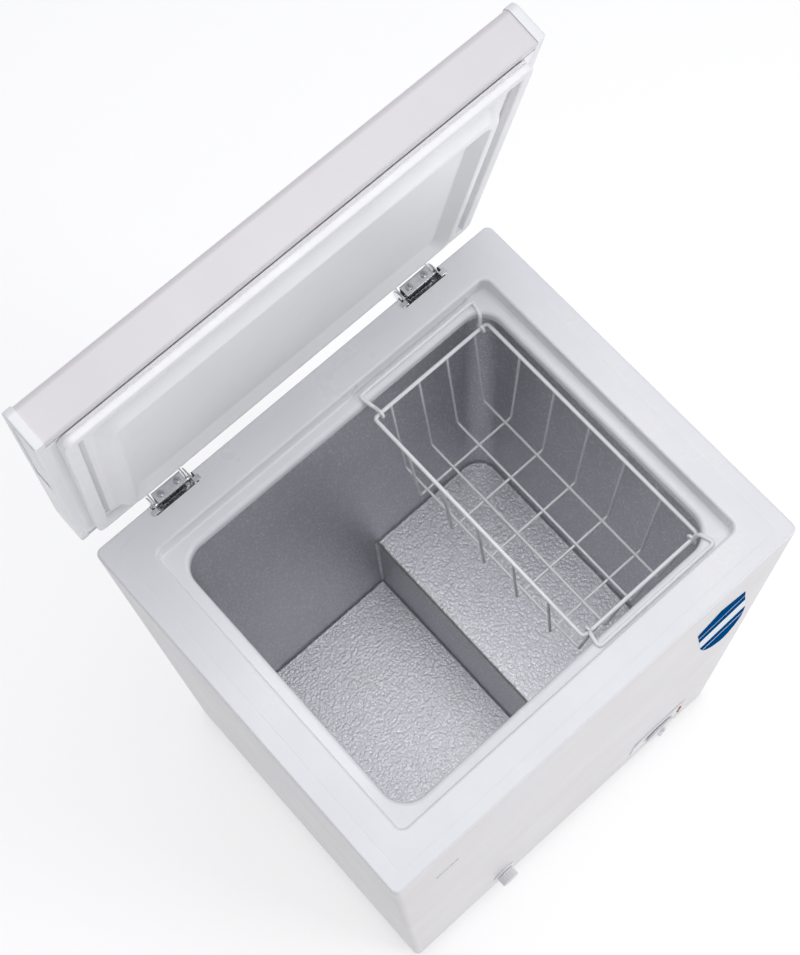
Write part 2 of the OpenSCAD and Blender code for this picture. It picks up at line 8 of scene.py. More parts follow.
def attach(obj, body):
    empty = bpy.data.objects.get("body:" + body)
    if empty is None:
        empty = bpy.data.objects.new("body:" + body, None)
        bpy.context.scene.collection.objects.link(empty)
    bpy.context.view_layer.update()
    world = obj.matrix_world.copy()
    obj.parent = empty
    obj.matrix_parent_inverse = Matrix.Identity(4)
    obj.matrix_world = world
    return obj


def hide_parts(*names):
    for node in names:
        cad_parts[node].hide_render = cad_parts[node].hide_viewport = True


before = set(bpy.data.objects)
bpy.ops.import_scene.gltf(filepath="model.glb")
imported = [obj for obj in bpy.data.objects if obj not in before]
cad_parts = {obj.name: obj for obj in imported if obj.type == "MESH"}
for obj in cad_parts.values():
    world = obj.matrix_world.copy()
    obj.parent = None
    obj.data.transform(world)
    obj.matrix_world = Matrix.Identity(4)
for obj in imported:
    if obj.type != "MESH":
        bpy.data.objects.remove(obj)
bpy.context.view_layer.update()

MM = 0.001

# The viewpoint: a long lens high above the front left corner, looking down into the open chest.
# The picture is rolled a little, so the cabinet leans the way it stands in view.
camera_data = bpy.data.cameras.new("overhead_camera")
camera_data.sensor_width = 36
camera_data.lens = 68.806
camera = bpy.data.objects.new("overhead_camera", camera_data)
bpy.context.scene.collection.objects.link(camera)
camera_at = Vector((-0.3330, -0.3974, 2.5323))
looking = (Vector((0.0113, 0.0793, 0.792)) - camera_at).normalized()
level_right = looking.cross(Vector((0, 0, 1))).normalized()
level_up = level_right.cross(looking)
roll = math.radians(-6.2506)
right = math.cos(roll) * level_right + math.sin(roll) * level_up
up = right.cross(looking)
camera.matrix_world = (
    Matrix.Translation(camera_at) @ Matrix((right, up, -looking)).transposed().to_4x4()
)
bpy.context.scene.camera = camera


# The studio: a white, faintly lit floor under a wide, even sky, one large softbox straight
# overhead that reaches down into the well, and a weaker one from the front right.
def linear(hex_code):
    """sRGB hex colour as linear numbers, opaque"""
    parts = [int(hex_code[i : i + 2], 16) / 255 for i in (1, 3, 5)]
    return (*((c / 12.92 if c <= 0.04045 else ((c + 0.055) / 1.055) ** 2.4) for c in parts), 1.0)


def add_node(tree, kind, feeds=None, **settings):
    """Adds a node. Settings are its properties; feeds gives its sockets a value or a link"""
    node = tree.nodes.new(kind)
    for name, value in settings.items():
        setattr(node, name, value)
    for socket, value in (feeds or {}).items():
        if isinstance(value, bpy.types.NodeSocket):
            tree.links.new(value, node.inputs[socket])
        else:
            node.inputs[socket].default_value = value
    return node


def put(name, data):
    """New object that holds the data, linked into the scene"""
    made = bpy.data.objects.new(name, data)
    bpy.context.scene.collection.objects.link(made)
    return made


bpy.context.scene.view_settings.view_transform = "Standard"
sky = bpy.data.worlds.new("studio_sky")
sky.use_nodes = True
sky.node_tree.nodes.clear()
sky_light = add_node(
    sky.node_tree, "ShaderNodeBackground", {"Color": linear("#f7f8ff"), "Strength": 0.37}
)
add_node(sky.node_tree, "ShaderNodeOutputWorld", {"Surface": sky_light.outputs[0]})
bpy.context.scene.world = sky


def soft_light(name, position, target, width, height, power):
    """Large softbox aimed at a point"""
    data = bpy.data.lights.new(name, "AREA")
    data.shape = "RECTANGLE"
    data.size, data.size_y, data.energy = width, height, power
    light = put(name, data)
    aim = Vector(target) - Vector(position)
    light.matrix_world = (
        Matrix.Translation(position) @ aim.to_track_quat("-Z", "Y").to_matrix().to_4x4()
    )


soft_light("overhead_softbox", (0.25, 0.1, 3.4), (0.05, 0, 0.4), 1.9, 1.9, 32)
soft_light("front_softbox", (1.5, -2.6, 1.7), (0.05, 0, 0.5), 1.2, 1.2, 26)

floor_material = bpy.data.materials.new("matt_white_studio_floor")
floor_material.use_nodes = True
floor_shader = floor_material.node_tree.nodes["Principled BSDF"]
floor_shader.inputs["Base Color"].default_value = linear("#cdcdcd")
floor_shader.inputs["Roughness"].default_value = 0.9
floor_shader.inputs["Emission Color"].default_value = linear("#ffffff")
floor_shader.inputs["Emission Strength"].default_value = 0.58
floor_mesh = bpy.data.meshes.new("studio_floor")
floor_mesh.from_pydata([(-6, -6, 0), (6, -6, 0), (6, 6, 0), (-6, 6, 0)], [], [(0, 1, 2, 3)])
floor_mesh.materials.append(floor_material)
studio_floor = put("studio_floor", floor_mesh)


# Cabinet wrap: one sheet of pre-painted steel bent round the front and both sides, with a hem at
# the bottom and folded edges that hold the back. Baked white paint on sheet 0.9 mm thick.
def new_surface(name):
    """New material, with its node tree, its shader and the place on the piece in metres"""
    material = bpy.data.materials.new(name)
    material.use_nodes = True
    tree = material.node_tree
    place = add_node(tree, "ShaderNodeTexCoord").outputs["Object"]
    return material, tree, tree.nodes["Principled BSDF"], place


def mixed(tree, share, first, second):
    """Output of a node that mixes two colours by a share"""
    feeds = {0: share, 6: first, 7: second}
    return add_node(tree, "ShaderNodeMix", feeds, data_type="RGBA").outputs[2]


def mapped(tree, value, low, high, to_low=0.0, to_high=1.0):
    """Output of a node that maps one range of a value onto another"""
    feeds = {"From Min": low, "From Max": high, "To Min": to_low, "To Max": to_high}
    return add_node(tree, "ShaderNodeMapRange", {"Value": value, **feeds}).outputs[0]


def drive(tree, shader, colour, relief, gloss=None):
    """Links a colour, a relief and a roughness into a shader"""
    tree.links.new(colour, shader.inputs["Base Color"])
    if gloss:
        tree.links.new(gloss, shader.inputs["Roughness"])
    tree.links.new(relief.outputs[0], shader.inputs["Normal"])


def finish(
    name, colour, shade, blotch_mm, roughness, rough_spread, grain_mm, grain_height_mm,
    metallic=0.0, ior=1.5, grain_kind="ShaderNodeTexNoise",
):
    """Surface with slow colour drift, uneven gloss and a fine relief, all sized in millimetres"""
    material, tree, shader, place = new_surface(name)
    drift = add_node(
        tree, "ShaderNodeTexNoise",
        {"Vector": place, "Scale": 1 / (blotch_mm * MM), "Detail": 4.0, "Roughness": 0.6},
    )
    spread = mapped(tree, drift.outputs[0], 0.35, 0.68)
    tint = mixed(tree, spread, linear(colour), linear(shade))
    dull, shiny = roughness + rough_spread, roughness - rough_spread
    gloss = mapped(tree, drift.outputs[0], 0.3, 0.7, shiny, dull)
    grain = add_node(tree, grain_kind, {"Vector": place, "Scale": 1 / (grain_mm * MM)})
    relief = add_node(
        tree, "ShaderNodeBump",
        {"Height": grain.outputs[0], "Distance": grain_height_mm * MM, "Strength": 1.0},
    )
    drive(tree, shader, tint, relief, gloss)
    shader.inputs["Metallic"].default_value = metallic
    if not metallic:
        shader.inputs["IOR"].default_value = ior
    return material


def loft_mesh(loops, ring=True, tube=False, capped=False):
    """Quads between loops of points in mm: ring closes each loop, tube joins the last loop to the
    first, capped fills the first and last"""
    count = len(loops[0])
    faces = []
    for j in range(len(loops) if tube else len(loops) - 1):
        a, b = j * count, (j + 1) % len(loops) * count
        for i in range(count if ring else count - 1):
            k = (i + 1) % count
            faces.append((a + i, a + k, b + k, b + i))
    if capped:
        faces.append(tuple(reversed(range(count))))
        faces.append(tuple(range((len(loops) - 1) * count, len(loops) * count)))
    mesh = bpy.data.meshes.new("shape")
    mesh.from_pydata([Vector(p) * MM for loop in loops for p in loop], [], faces)
    mesh.update()
    return mesh


def fit(
    name, mesh, material, body, nodes=(), sharp=32, outward=False, wall=0.0, edge=0.0
):
    """Makes the finished piece from its mesh, hangs it on its body and hides the CAD nodes it
    stands for. Wall is the thickness it gets on its inner side, and edge the radius of its sharp
    edges, in mm"""
    if outward:
        shell = bmesh.new()
        shell.from_mesh(mesh)
        bmesh.ops.remove_doubles(shell, verts=shell.verts, dist=0.00001)
        bmesh.ops.recalc_face_normals(shell, faces=shell.faces)
        shell.to_mesh(mesh)
        shell.free()
    mesh.name = name
    for polygon in mesh.polygons:
        polygon.use_smooth = True
    mesh.set_sharp_from_angle(angle=math.radians(sharp))
    if not mesh.materials:
        mesh.materials.append(material)
    piece = put(name, mesh)
    if wall:
        sheet = piece.modifiers.new("wall", "SOLIDIFY")
        sheet.thickness, sheet.offset, sheet.use_even_offset = wall * MM, -1, True
    if edge:
        rounding = piece.modifiers.new("rounded_edges", "BEVEL")
        rounding.width, rounding.segments = edge * MM, 2
        rounding.limit_method, rounding.angle_limit = "ANGLE", math.radians(40)
    even = piece.modifiers.new("flat_faces_stay_flat", "WEIGHTED_NORMAL")
    even.keep_sharp = True
    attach(piece, body)
    if nodes:
        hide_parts(*nodes)


def arc(cx, cy, radius, start, end, steps):
    """Points on an arc, angles in degrees"""
    return [
        (
            cx + radius * math.cos(math.radians(start + (end - start) * i / steps)),
            cy + radius * math.sin(math.radians(start + (end - start) * i / steps)),
        )
        for i in range(steps + 1)
    ]


# Baked white enamel: a hard satin paint with a faint orange peel and almost no colour drift
white_enamel = finish(
    "baked_white_enamel_on_steel", "#dfdcde", "#dddadc", 90, 0.36, 0.04, 2.4, 0.003
)
cabinet_half_w, cabinet_half_d, cabinet_r = 267.5, 227.0, 8.0
feet_h, wrap_top = 12.0, 789.0
bend_x, bend_y = cabinet_half_w - cabinet_r, cabinet_half_d - cabinet_r
wrap_path = (
    [(-252.0, cabinet_half_d - 1.2), (-253.5, cabinet_half_d)]
    + arc(-bend_x, bend_y, cabinet_r, 90, 180, 8)
    + arc(-bend_x, -bend_y, cabinet_r, 180, 270, 8)
    + arc(bend_x, -bend_y, cabinet_r, 270, 360, 8)
    + arc(bend_x, bend_y, cabinet_r, 0, 90, 8)
    + [(253.5, cabinet_half_d), (252.0, cabinet_half_d - 1.2)]
)
# From the hem up, each loop is the outline drawn in to a share of its full size
wrap_loops = [
    [(x * share, y * share, z) for x, y in wrap_path]
    for share, z in (
        (0.955, feet_h), (0.994, feet_h), (0.9985, feet_h + 0.5), (1, feet_h + 2.0), (1, 200),
        (1, 400), (1, 600), (1, wrap_top - 1.0), (0.9985, wrap_top),
    )
]
fit(
    "cabinet_wrap_sheet", loft_mesh(wrap_loops, ring=False), white_enamel,
    "cabinet", ["cabinet_wrap"], wall=0.9,
)


# Top collar: a white plastic moulding that caps the walls, holds the liner's edge, and carries the
# basket on a ledge round the mouth. Two pockets at the back take the hinges.
def corner_loop(half_x, half_y, radius, z, centre_y=0.0, steps=12):
    """Rectangle with round corners, seen from above, the corners cut into equal steps"""
    points = []
    for k, (side_x, side_y) in enumerate(((1, -1), (1, 1), (-1, 1), (-1, -1))):
        cx = side_x * (half_x - radius)
        cy = centre_y + side_y * (half_y - radius)
        points += [(x, y, z) for x, y in arc(cx, cy, radius, 90 * k - 90, 90 * k, steps)]
    return points


def rounded_edge(half_x, half_y, radius, z, size, start, end):
    """Loops that run round an edge of the given size: the angle is 0 level outward, 90 up"""
    loops = []
    for out, rise in arc(0, 0, size, start, end, 5):
        loops.append(corner_loop(half_x + out, half_y + out, max(radius + out, 0.5), z + rise))
    return loops


# Moulded high-impact polystyrene: soft satin white, slightly blue, with a fine spark texture
moulded_collar = finish(
    "injection_moulded_white_polystyrene", "#f0f0f3", "#edeef1", 70, 0.3, 0.04, 1.6, 0.003
)
collar_top = 792.0
ledge_z, lip_z, collar_wall = 770.0, 757.0, 3.0
recess_x, recess_y, recess_r = 223.5, 185.0, 9.0
mouth_x, mouth_y, mouth_r = 209.0, 170.5, 28.0
groove_x, groove_y, groove_r = 249.5, 212.0, 6.0
collar_loops = [corner_loop(cabinet_half_w - 0.2, cabinet_half_d - 0.2, cabinet_r, wrap_top)]
rim_round, top_round, base_round, lip_round = 2.6, 3.2, 2.4, 5.0
collar_loops += rounded_edge(
    cabinet_half_w - rim_round, cabinet_half_d - rim_round, cabinet_r - rim_round,
    collar_top - rim_round, rim_round, 0, 90,
)
for inward, drop in ((-0.7, 0.0), (-0.35, 0.22), (0.35, 0.22), (0.7, 0.0)):
    collar_loops.append(
        corner_loop(groove_x - inward, groove_y - inward, groove_r, collar_top - drop)
    )
collar_loops += rounded_edge(
    recess_x + top_round, recess_y + top_round, recess_r + top_round, collar_top - top_round,
    top_round, 90, 180,
)
collar_loops += rounded_edge(
    recess_x - base_round, recess_y - base_round, recess_r - base_round, ledge_z + base_round,
    base_round, 0, -90,
)
collar_loops += rounded_edge(
    mouth_x + lip_round, mouth_y + lip_round, mouth_r + lip_round, ledge_z - lip_round, lip_round,
    90, 180,
)
shelf_z = ledge_z - collar_wall
for grow, z in ((0.0, lip_z + 0.8), (0.5, lip_z), (collar_wall, lip_z), (collar_wall, shelf_z)):
    collar_loops.append(corner_loop(mouth_x + grow, mouth_y + grow, mouth_r + grow, z))
for z in (shelf_z, wrap_top):
    collar_loops.append(corner_loop(recess_x + collar_wall, recess_y + collar_wall, 12.0, z))
collar_loops.append(corner_loop(cabinet_half_w - 2.0, cabinet_half_d - 2.0, 6.0, wrap_top))
collar_mesh = loft_mesh(collar_loops, tube=True)


def slab(low, high):
    """Plain closed block between two corners in mm, part of a larger piece or cut out of one"""
    x0, y0, z0, x1, y1, z1 = *low, *high
    rings = [[(x0, y0, z), (x1, y0, z), (x1, y1, z), (x0, y1, z)] for z in (z0, z1)]
    return loft_mesh(rings, capped=True)


def final_mesh(holder, *spares):
    """The mesh an object ends up with; the object and the spare ones are removed"""
    graph = bpy.context.evaluated_depsgraph_get()
    made = bpy.data.meshes.new_from_object(holder.evaluated_get(graph))
    for spent in (holder, *spares):
        bpy.data.objects.remove(spent)
    return made


def cut_out(mesh, blocks):
    """Takes blocks out of a closed mesh and returns the new mesh"""
    work = put("work", mesh)
    cutters = [put("cutter", block) for block in blocks]
    for cutter in cutters:
        cut = work.modifiers.new("cut", "BOOLEAN")
        cut.operation, cut.object, cut.solver = "DIFFERENCE", cutter, "EXACT"
    return final_mesh(work, *cutters)


hinge_xs = (-168.0, 168.0)
pocket_half, pocket_y, pocket_z = 27.5, 213.5, 768.0
collar_mesh = cut_out(
    collar_mesh,
    [
        slab((x - pocket_half, pocket_y, pocket_z - 5), (x + pocket_half, 240, 800))
        for x in hinge_xs
    ],
)
fit(
    "top_collar_moulding", collar_mesh, moulded_collar, "cabinet", ["top_collar"],
    sharp=40,
)

# Hinge pockets: thin trays pushed into the two notches at the back of the collar to keep foam out
# of the hinge. They are near black, a painted shadow that shows as a dark line round each hinge.
# Near-black painted shadow for the pocket gaps round the hinges
pocket_painted_shadow = finish(
    "painted_shadow_black_pocket_tray", "#08080a", "#101013", 30, 0.45, 0.08, 1.2, 0.02
)
for side, hinge_x in zip(("left", "right"), hinge_xs):
    inner, outer = pocket_half - 1.0, pocket_half - 0.1
    tray = [
        (outer, cabinet_half_d), (outer, pocket_y + 0.1), (-outer, pocket_y + 0.1),
        (-outer, cabinet_half_d), (-inner, cabinet_half_d), (-inner, pocket_y + 0.9),
        (inner, pocket_y + 0.9), (inner, cabinet_half_d),
    ]
    tray_loops = [[(hinge_x + x, y, z) for x, y in tray] for z in (760.5, 790.6)]
    tray_mesh = loft_mesh(tray_loops, capped=True)
    fit(f"hinge_pocket_{side}", tray_mesh, pocket_painted_shadow, "cabinet", outward=True)

# Inner liner: a folded and seamed tub of embossed aluminium sheet with a step over the compressor.
# The evaporator tube is clamped to its outside. The sheet has a stucco pattern rolled in.
liner_x, liner_y, liner_r = 210.5, 172.0, 29.0
liner_floor, step_top, riser_x = 107.0, 287.0, 31.0
fold_round, fold_steps = 4.0, 4
outline = [(x, y) for x, y, z in corner_loop(liner_x, liner_y, liner_r, lip_z)]


def with_riser(points):
    """Puts a corner into the outline where the riser meets the front and the back wall"""
    made = []
    for i, (x, y) in enumerate(points):
        made.append((x, y))
        x1, y1 = points[(i + 1) % len(points)]
        if (x - riser_x) * (x1 - riser_x) < 0:
            made.append((riser_x, y))
    return made


outline = with_riser(outline)
liner_bm = bmesh.new()


def liner_point(x, y, z):
    """New corner of the liner, in mm"""
    return liner_bm.verts.new(Vector((x, y, z)) * MM)


on_riser = [i for i, (x, y) in enumerate(outline) if abs(x - riser_x) < 0.001]
top_ring = [liner_point(x, y, lip_z) for x, y in outline]
step_ring = [liner_point(x, y, step_top) for x, y in outline]
floor_ring = {
    i: liner_point(x, y, liner_floor) for i, (x, y) in enumerate(outline) if x <= riser_x + 0.001
}
for i in range(len(outline)):
    k = (i + 1) % len(outline)
    liner_bm.faces.new((top_ring[i], top_ring[k], step_ring[k], step_ring[i]))
    if i in floor_ring and k in floor_ring and not (i in on_riser and k in on_riser):
        liner_bm.faces.new((step_ring[i], step_ring[k], floor_ring[k], floor_ring[i]))
front_i, back_i = sorted(on_riser, key=lambda i: outline[i][1])
order = [i % len(outline) for i in range(front_i, front_i + len(outline))]
right_side = order[: order.index(back_i) + 1]
left_side = order[order.index(back_i) :] + [front_i]
liner_bm.faces.new([step_ring[i] for i in right_side])
liner_bm.faces.new([floor_ring[i] for i in left_side])
liner_bm.faces.new((step_ring[front_i], step_ring[back_i], floor_ring[back_i], floor_ring[front_i]))
liner_bm.verts.ensure_lookup_table()
liner_bm.normal_update()


def is_fold(edge):
    """Whether the edge is round the floor or the step, or runs down the riser"""
    a, b = (v.co / MM for v in edge.verts)
    on_floor = max(abs(a.z - liner_floor), abs(b.z - liner_floor)) < 0.01
    on_step = max(abs(a.z - step_top), abs(b.z - step_top)) < 0.01
    on_step = on_step and min(a.x, b.x) > riser_x - 0.01
    down_riser = max(abs(a.x - riser_x), abs(b.x - riser_x)) < 0.01
    return on_floor or on_step or (down_riser and min(a.z, b.z) < step_top - 1)


bmesh.ops.bevel(
    liner_bm, geom=[edge for edge in liner_bm.edges if is_fold(edge)], offset=fold_round * MM,
    segments=fold_steps, affect="EDGES", profile=0.5, clamp_overlap=True,
)
bmesh.ops.remove_doubles(liner_bm, verts=liner_bm.verts, dist=0.00005)
bmesh.ops.recalc_face_normals(liner_bm, faces=liner_bm.faces)
if sum(f.normal.z * f.calc_area() for f in liner_bm.faces) < 0:
    bmesh.ops.reverse_faces(liner_bm, faces=liner_bm.faces)
liner_mesh = bpy.data.meshes.new("inner_liner_tub")
liner_bm.to_mesh(liner_mesh)
liner_bm.free()


def maths(tree, operation, *values):
    """Output of a maths node that works on the given numbers or links"""
    return add_node(tree, "ShaderNodeMath", dict(enumerate(values)), operation=operation).outputs[0]


# Stucco-embossed aluminium: mill-bright metal whose rolled pebbles break up every reflection. They
# are 4.2 mm across, coarser than on real sheet so that they show, and each rim has painted shade.
def embossed_sheet(name, pebble_mm, height_mm, roughness, colour, shade):
    """Bright sheet with a pebbled relief and painted shade at each pebble's rim, sized in
    millimetres
    """
    material, tree, shader, place = new_surface(name)
    pebbles = add_node(
        tree, "ShaderNodeTexVoronoi",
        {"Vector": place, "Scale": 1 / (pebble_mm * MM), "Randomness": 0.9}, feature="SMOOTH_F1",
    )
    pebbles.inputs["Smoothness"].default_value = 0.5
    fine = add_node(
        tree, "ShaderNodeTexNoise", {"Vector": place, "Scale": 1 / (0.4 * pebble_mm * MM)}
    )
    height = maths(tree, "MULTIPLY_ADD", pebbles.outputs["Distance"], 0.9, fine.outputs[0])
    relief = add_node(
        tree, "ShaderNodeBump", {"Height": height, "Distance": height_mm * MM, "Strength": 1.0}
    )
    drift = add_node(
        tree, "ShaderNodeTexNoise", {"Vector": place, "Scale": 1 / (120 * MM), "Detail": 3.0}
    )
    # Painted shade: each pebble bright at its centre and darker at its rim, with some random drift
    # mixed in
    painted_pebble_shade = mapped(tree, pebbles.outputs["Distance"], 0.12, 0.42)
    shallow = maths(tree, "MULTIPLY", drift.outputs[0], 0.25)
    pebble_shade_and_drift = maths(tree, "MULTIPLY_ADD", painted_pebble_shade, 0.8, shallow)
    tint = mixed(tree, pebble_shade_and_drift, linear(colour), linear(shade))
    gloss = mapped(tree, fine.outputs[0], 0.0, 1.0, roughness - 0.06, roughness + 0.08)
    drive(tree, shader, tint, relief, gloss)
    shader.inputs["Metallic"].default_value = 1.0
    return material


# The darker colour is the painted shade on the pebbles' rims
stucco_aluminium = embossed_sheet("stucco_embossed_aluminium", 4.2, 0.6, 0.42, "#ffffff", "#d6d6dc")
fit(
    "inner_liner_tub", liner_mesh, stucco_aluminium, "cabinet", ["inner_liner"],
    sharp=60, wall=0.9,
)


# Insulation and sealed parts inside the walls: foamed-in-place polyurethane, the copper evaporator
# tube wound round the liner, and the steel condenser tube taped to the inside of the side sheets.
def carry_over(names, material):
    """Gives CAD nodes that stay as they are their finish"""
    for name in names:
        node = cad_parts[name]
        if not node.material_slots:
            node.data.materials.append(material)
        for place in node.material_slots:
            place.material = material


# Rigid polyurethane foam: matt cream, with open cells about 0.8 mm across at a cut face
cream_foam = finish(
    "foamed_in_place_polyurethane", "#e6d9a8", "#d2bf83", 35, 0.9, 0.06, 0.8, 0.3,
    grain_kind="ShaderNodeTexVoronoi",
)
# Drawn copper tube: warm bright metal going brown in patches
drawn_copper = finish(
    "drawn_copper_refrigerant_tube", "#c97f52", "#7f4a30", 18, 0.32, 0.12, 0.6, 0.01, metallic=1.0
)
# Bundy steel tube with a black paint: dull, slightly dusty
painted_tube = finish("black_painted_steel_tube", "#2b2c2e", "#3b3c3e", 25, 0.55, 0.1, 0.7, 0.01)
carry_over(["cabinet_foam"], cream_foam)
carry_over(["evaporator_coil", "suction_tube", "capillary_tube", "filter_drier"], drawn_copper)
carry_over(["condenser_coil", "discharge_tube"], painted_tube)

# Base pan, back panel and compressor room: galvanised sheet, pressed and screwed. The back panel
# closes the wrap and is painted on the outside.
galvanised = finish(
    "hot_dip_galvanised_sheet", "#b4b8bb", "#92979b", 14, 0.4, 0.1, 2.5, 0.02, metallic=1.0,
    grain_kind="ShaderNodeTexVoronoi",
)
carry_over(["base_pan", "compressor_partition", "compressor_tray"], galvanised)
grey_back_paint = finish(
    "baked_pale_grey_enamel_on_steel", "#dcdde0", "#d4d5d9", 80, 0.42, 0.05, 2.4, 0.004
)
carry_over(["rear_panel"], grey_back_paint)

# Compressor: two drawn steel cups welded at the waist and dipped in black enamel, standing on
# rubber grommets and bolted to the tray; a plastic cover clips over its terminals.
black_enamel = finish("dipped_black_enamel", "#0d0e10", "#191a1d", 30, 0.22, 0.08, 2.2, 0.04)
nitrile = finish("moulded_black_nitrile_rubber", "#161617", "#232324", 12, 0.8, 0.08, 0.5, 0.03)
zinc_plate = finish(
    "bright_zinc_plated_steel", "#ced0d2", "#b3b6b9", 5, 0.25, 0.08, 0.4, 0.01, metallic=1.0
)
black_plastic = finish(
    "moulded_black_polypropylene", "#1b1c1e", "#26272a", 20, 0.5, 0.07, 0.7, 0.03
)
carry_over(["compressor_shell"], black_enamel)
carry_over(["compressor_grommets"], nitrile)
carry_over(["compressor_bolts"], zinc_plate)
carry_over(["terminal_cover"], black_plastic)


# Back grille: a pressed steel cover with a row of raised louvres that let the compressor's heat
# out. Painted dark grey and held by four screws.
def geometry_group(name, sockets):
    """New geometry nodes group with sockets given as names and kinds, and what they are called"""
    tree = bpy.data.node_groups.new(name, "GeometryNodeTree")
    keys = {}
    for label, kind in sockets:
        socket = tree.interface.new_socket(label, in_out="INPUT", socket_type=f"NodeSocket{kind}")
        keys[label] = socket.identifier
    tree.interface.new_socket("Geometry", in_out="OUTPUT", socket_type="NodeSocketGeometry")
    return tree, keys, add_node(tree, "NodeGroupInput").outputs


def finish_group(tree, shape, material):
    """Ends a group: makes the shape real, gives it its material and hands it out"""
    real = add_node(tree, "GeometryNodeRealizeInstances", {"Geometry": shape.outputs[0]})
    dressed = add_node(
        tree, "GeometryNodeSetMaterial", {"Geometry": real.outputs[0], "Material": material}
    )
    add_node(tree, "NodeGroupOutput", {0: dressed.outputs[0]})


def copies_tree():
    """Geometry nodes: puts a copy of one part on every point, faced the way the point says"""
    tree, inputs, given = geometry_group(
        "copies_on_points", (("Points", "Geometry"), ("Part", "Object"), ("Finish", "Material"))
    )
    part = add_node(tree, "GeometryNodeObjectInfo", {"Object": given["Part"]})
    facing = add_node(
        tree, "GeometryNodeInputNamedAttribute", {"Name": "facing"}, data_type="FLOAT_VECTOR"
    )
    turned = add_node(
        tree, "FunctionNodeAlignRotationToVector", {"Vector": facing.outputs[0]}, axis="Z"
    )
    copies = add_node(
        tree, "GeometryNodeInstanceOnPoints",
        {
            "Points": given["Points"], "Instance": part.outputs["Geometry"],
            "Rotation": turned.outputs[0],
        },
    )
    finish_group(tree, copies, given["Finish"])
    return tree, inputs


copies_group, copies_inputs = copies_tree()


def copies_of(part_mesh, seats, material):
    """One mesh with the part at every seat; a seat is a point in mm and the way its top faces"""
    part = put("part", part_mesh)
    points = bpy.data.meshes.new("seats")
    points.from_pydata([Vector(at) * MM for at, facing in seats], [], [])
    way = points.attributes.new("facing", "FLOAT_VECTOR", "POINT")
    for i, (at, facing) in enumerate(seats):
        way.data[i].vector = Vector(facing).normalized()
    holder = put("holder", points)
    pattern = holder.modifiers.new("copies", "NODES")
    pattern.node_group = copies_group
    pattern[copies_inputs["Part"]] = part
    pattern[copies_inputs["Finish"]] = material
    mesh = final_mesh(holder, part)
    if "facing" in mesh.attributes:
        mesh.attributes.remove(mesh.attributes["facing"])
    return mesh


def lathe(profile, steps):
    """Turned part about its own Z axis from (radius, height) pairs in mm, both ends closed"""
    turn = [2 * math.pi * i / steps for i in range(steps)]
    loops = [
        [(radius * math.cos(t), radius * math.sin(t), height) for t in turn]
        for radius, height in profile
    ]
    return loft_mesh(loops, capped=True)


def join_meshes(meshes):
    """Several meshes as one, still without a material"""
    joined = bmesh.new()
    for mesh in meshes:
        joined.from_mesh(mesh)
    made = bpy.data.meshes.new("joined")
    joined.to_mesh(made)
    joined.free()
    return made


def screw_head(radius, height, stem=0.0):
    """Pan head with a round recess, standing on its seat; the stem goes down from it"""
    profile = [(radius * 0.45, -stem)] if stem else []
    profile += [(radius * 0.45, 0.0)] if stem else []
    profile += [
        (radius, 0.0), (radius, height * 0.35), (radius * 0.92, height * 0.75),
        (radius * 0.7, height), (radius * 0.3, height), (radius * 0.22, height * 0.45),
    ]
    return lathe(profile, 16)


grille_x0, grille_x1, grille_z0, grille_z1 = 101.0, 247.5, 26.0, 199.0
back_y = cabinet_half_d
dark_grey_paint = finish(
    "dark_grey_enamel_on_pressed_steel", "#3c3d40", "#46474a", 45, 0.45, 0.07, 1.4, 0.03
)


def framed_plate(x, z, width, height, radius, loops):
    """Loops round an upright plate: each is an inset and a depth behind the cabinet's centre"""
    made = []
    for inset, y in loops:
        flat = corner_loop(
            width / 2 - inset, height / 2 - inset, max(radius - inset, 0.4), 0, steps=8
        )
        made.append([(x + u, y, z + v) for u, v, _ in flat])
    return made


grille_x, grille_z = (grille_x0 + grille_x1) / 2, (grille_z0 + grille_z1) / 2
grille_loops = framed_plate(
    grille_x, grille_z, grille_x1 - grille_x0, grille_z1 - grille_z0, 5,
    [(inset, back_y + y) for inset, y in ((0, 0), (0, 0.5), (0.4, 0.9), (9, 0.9), (10, 1.1))],
)
grille_plate = loft_mesh(grille_loops, capped=True)
slat_profile = [(0, 0), (2.4, 1.15), (6.2, 1.15), (7.4, 0.9), (7.4, 0.2), (0.4, -0.2)]
slat = loft_mesh([[(x, y, z) for y, z in slat_profile] for x in (-56, -54, 54, 56)], capped=True)
slats = copies_of(
    slat, [((grille_x, back_y + 0.8, grille_z0 + 26 + 14.5 * i), (0, 1, 0)) for i in range(9)],
    dark_grey_paint,
)
fit(
    "rear_grille_cover", join_meshes([grille_plate, slats]), dark_grey_paint,
    "cabinet", ["rear_grille"], outward=True,
)
fit(
    "grille_screw_heads",
    copies_of(
        screw_head(3.5, 1.7),
        [
            ((x, back_y + 1.2, z), (0, 1, 0))
            for x in (grille_x0 + 6, grille_x1 - 6)
            for z in (grille_z0 + 6, grille_z1 - 6)
        ],
        zinc_plate,
    ),
    zinc_plate, "cabinet", ["grille_screws"],
)

# Power inlet: a black plastic gland in the back panel where the lead would enter. Turned, with a
# soft flange that snaps into the sheet.
gland = lathe(
    [
        (6.8, -12), (6.8, 0), (10.4, 0), (11.0, 0.6), (11.0, 2.2), (10.2, 3.0), (6.8, 3.2),
        (6.4, 9.2), (5.6, 10.0), (3.8, 10.0), (3.6, 9.4), (3.6, 2.0),
    ],
    32,
)
gland.transform(
    Matrix.Translation(Vector((105, back_y, 213)) * MM) @ Matrix.Rotation(math.radians(-90), 4, "X")
)
fit(
    "power_inlet_gland", gland, black_plastic, "cabinet", ["power_inlet"],
    outward=True,
)

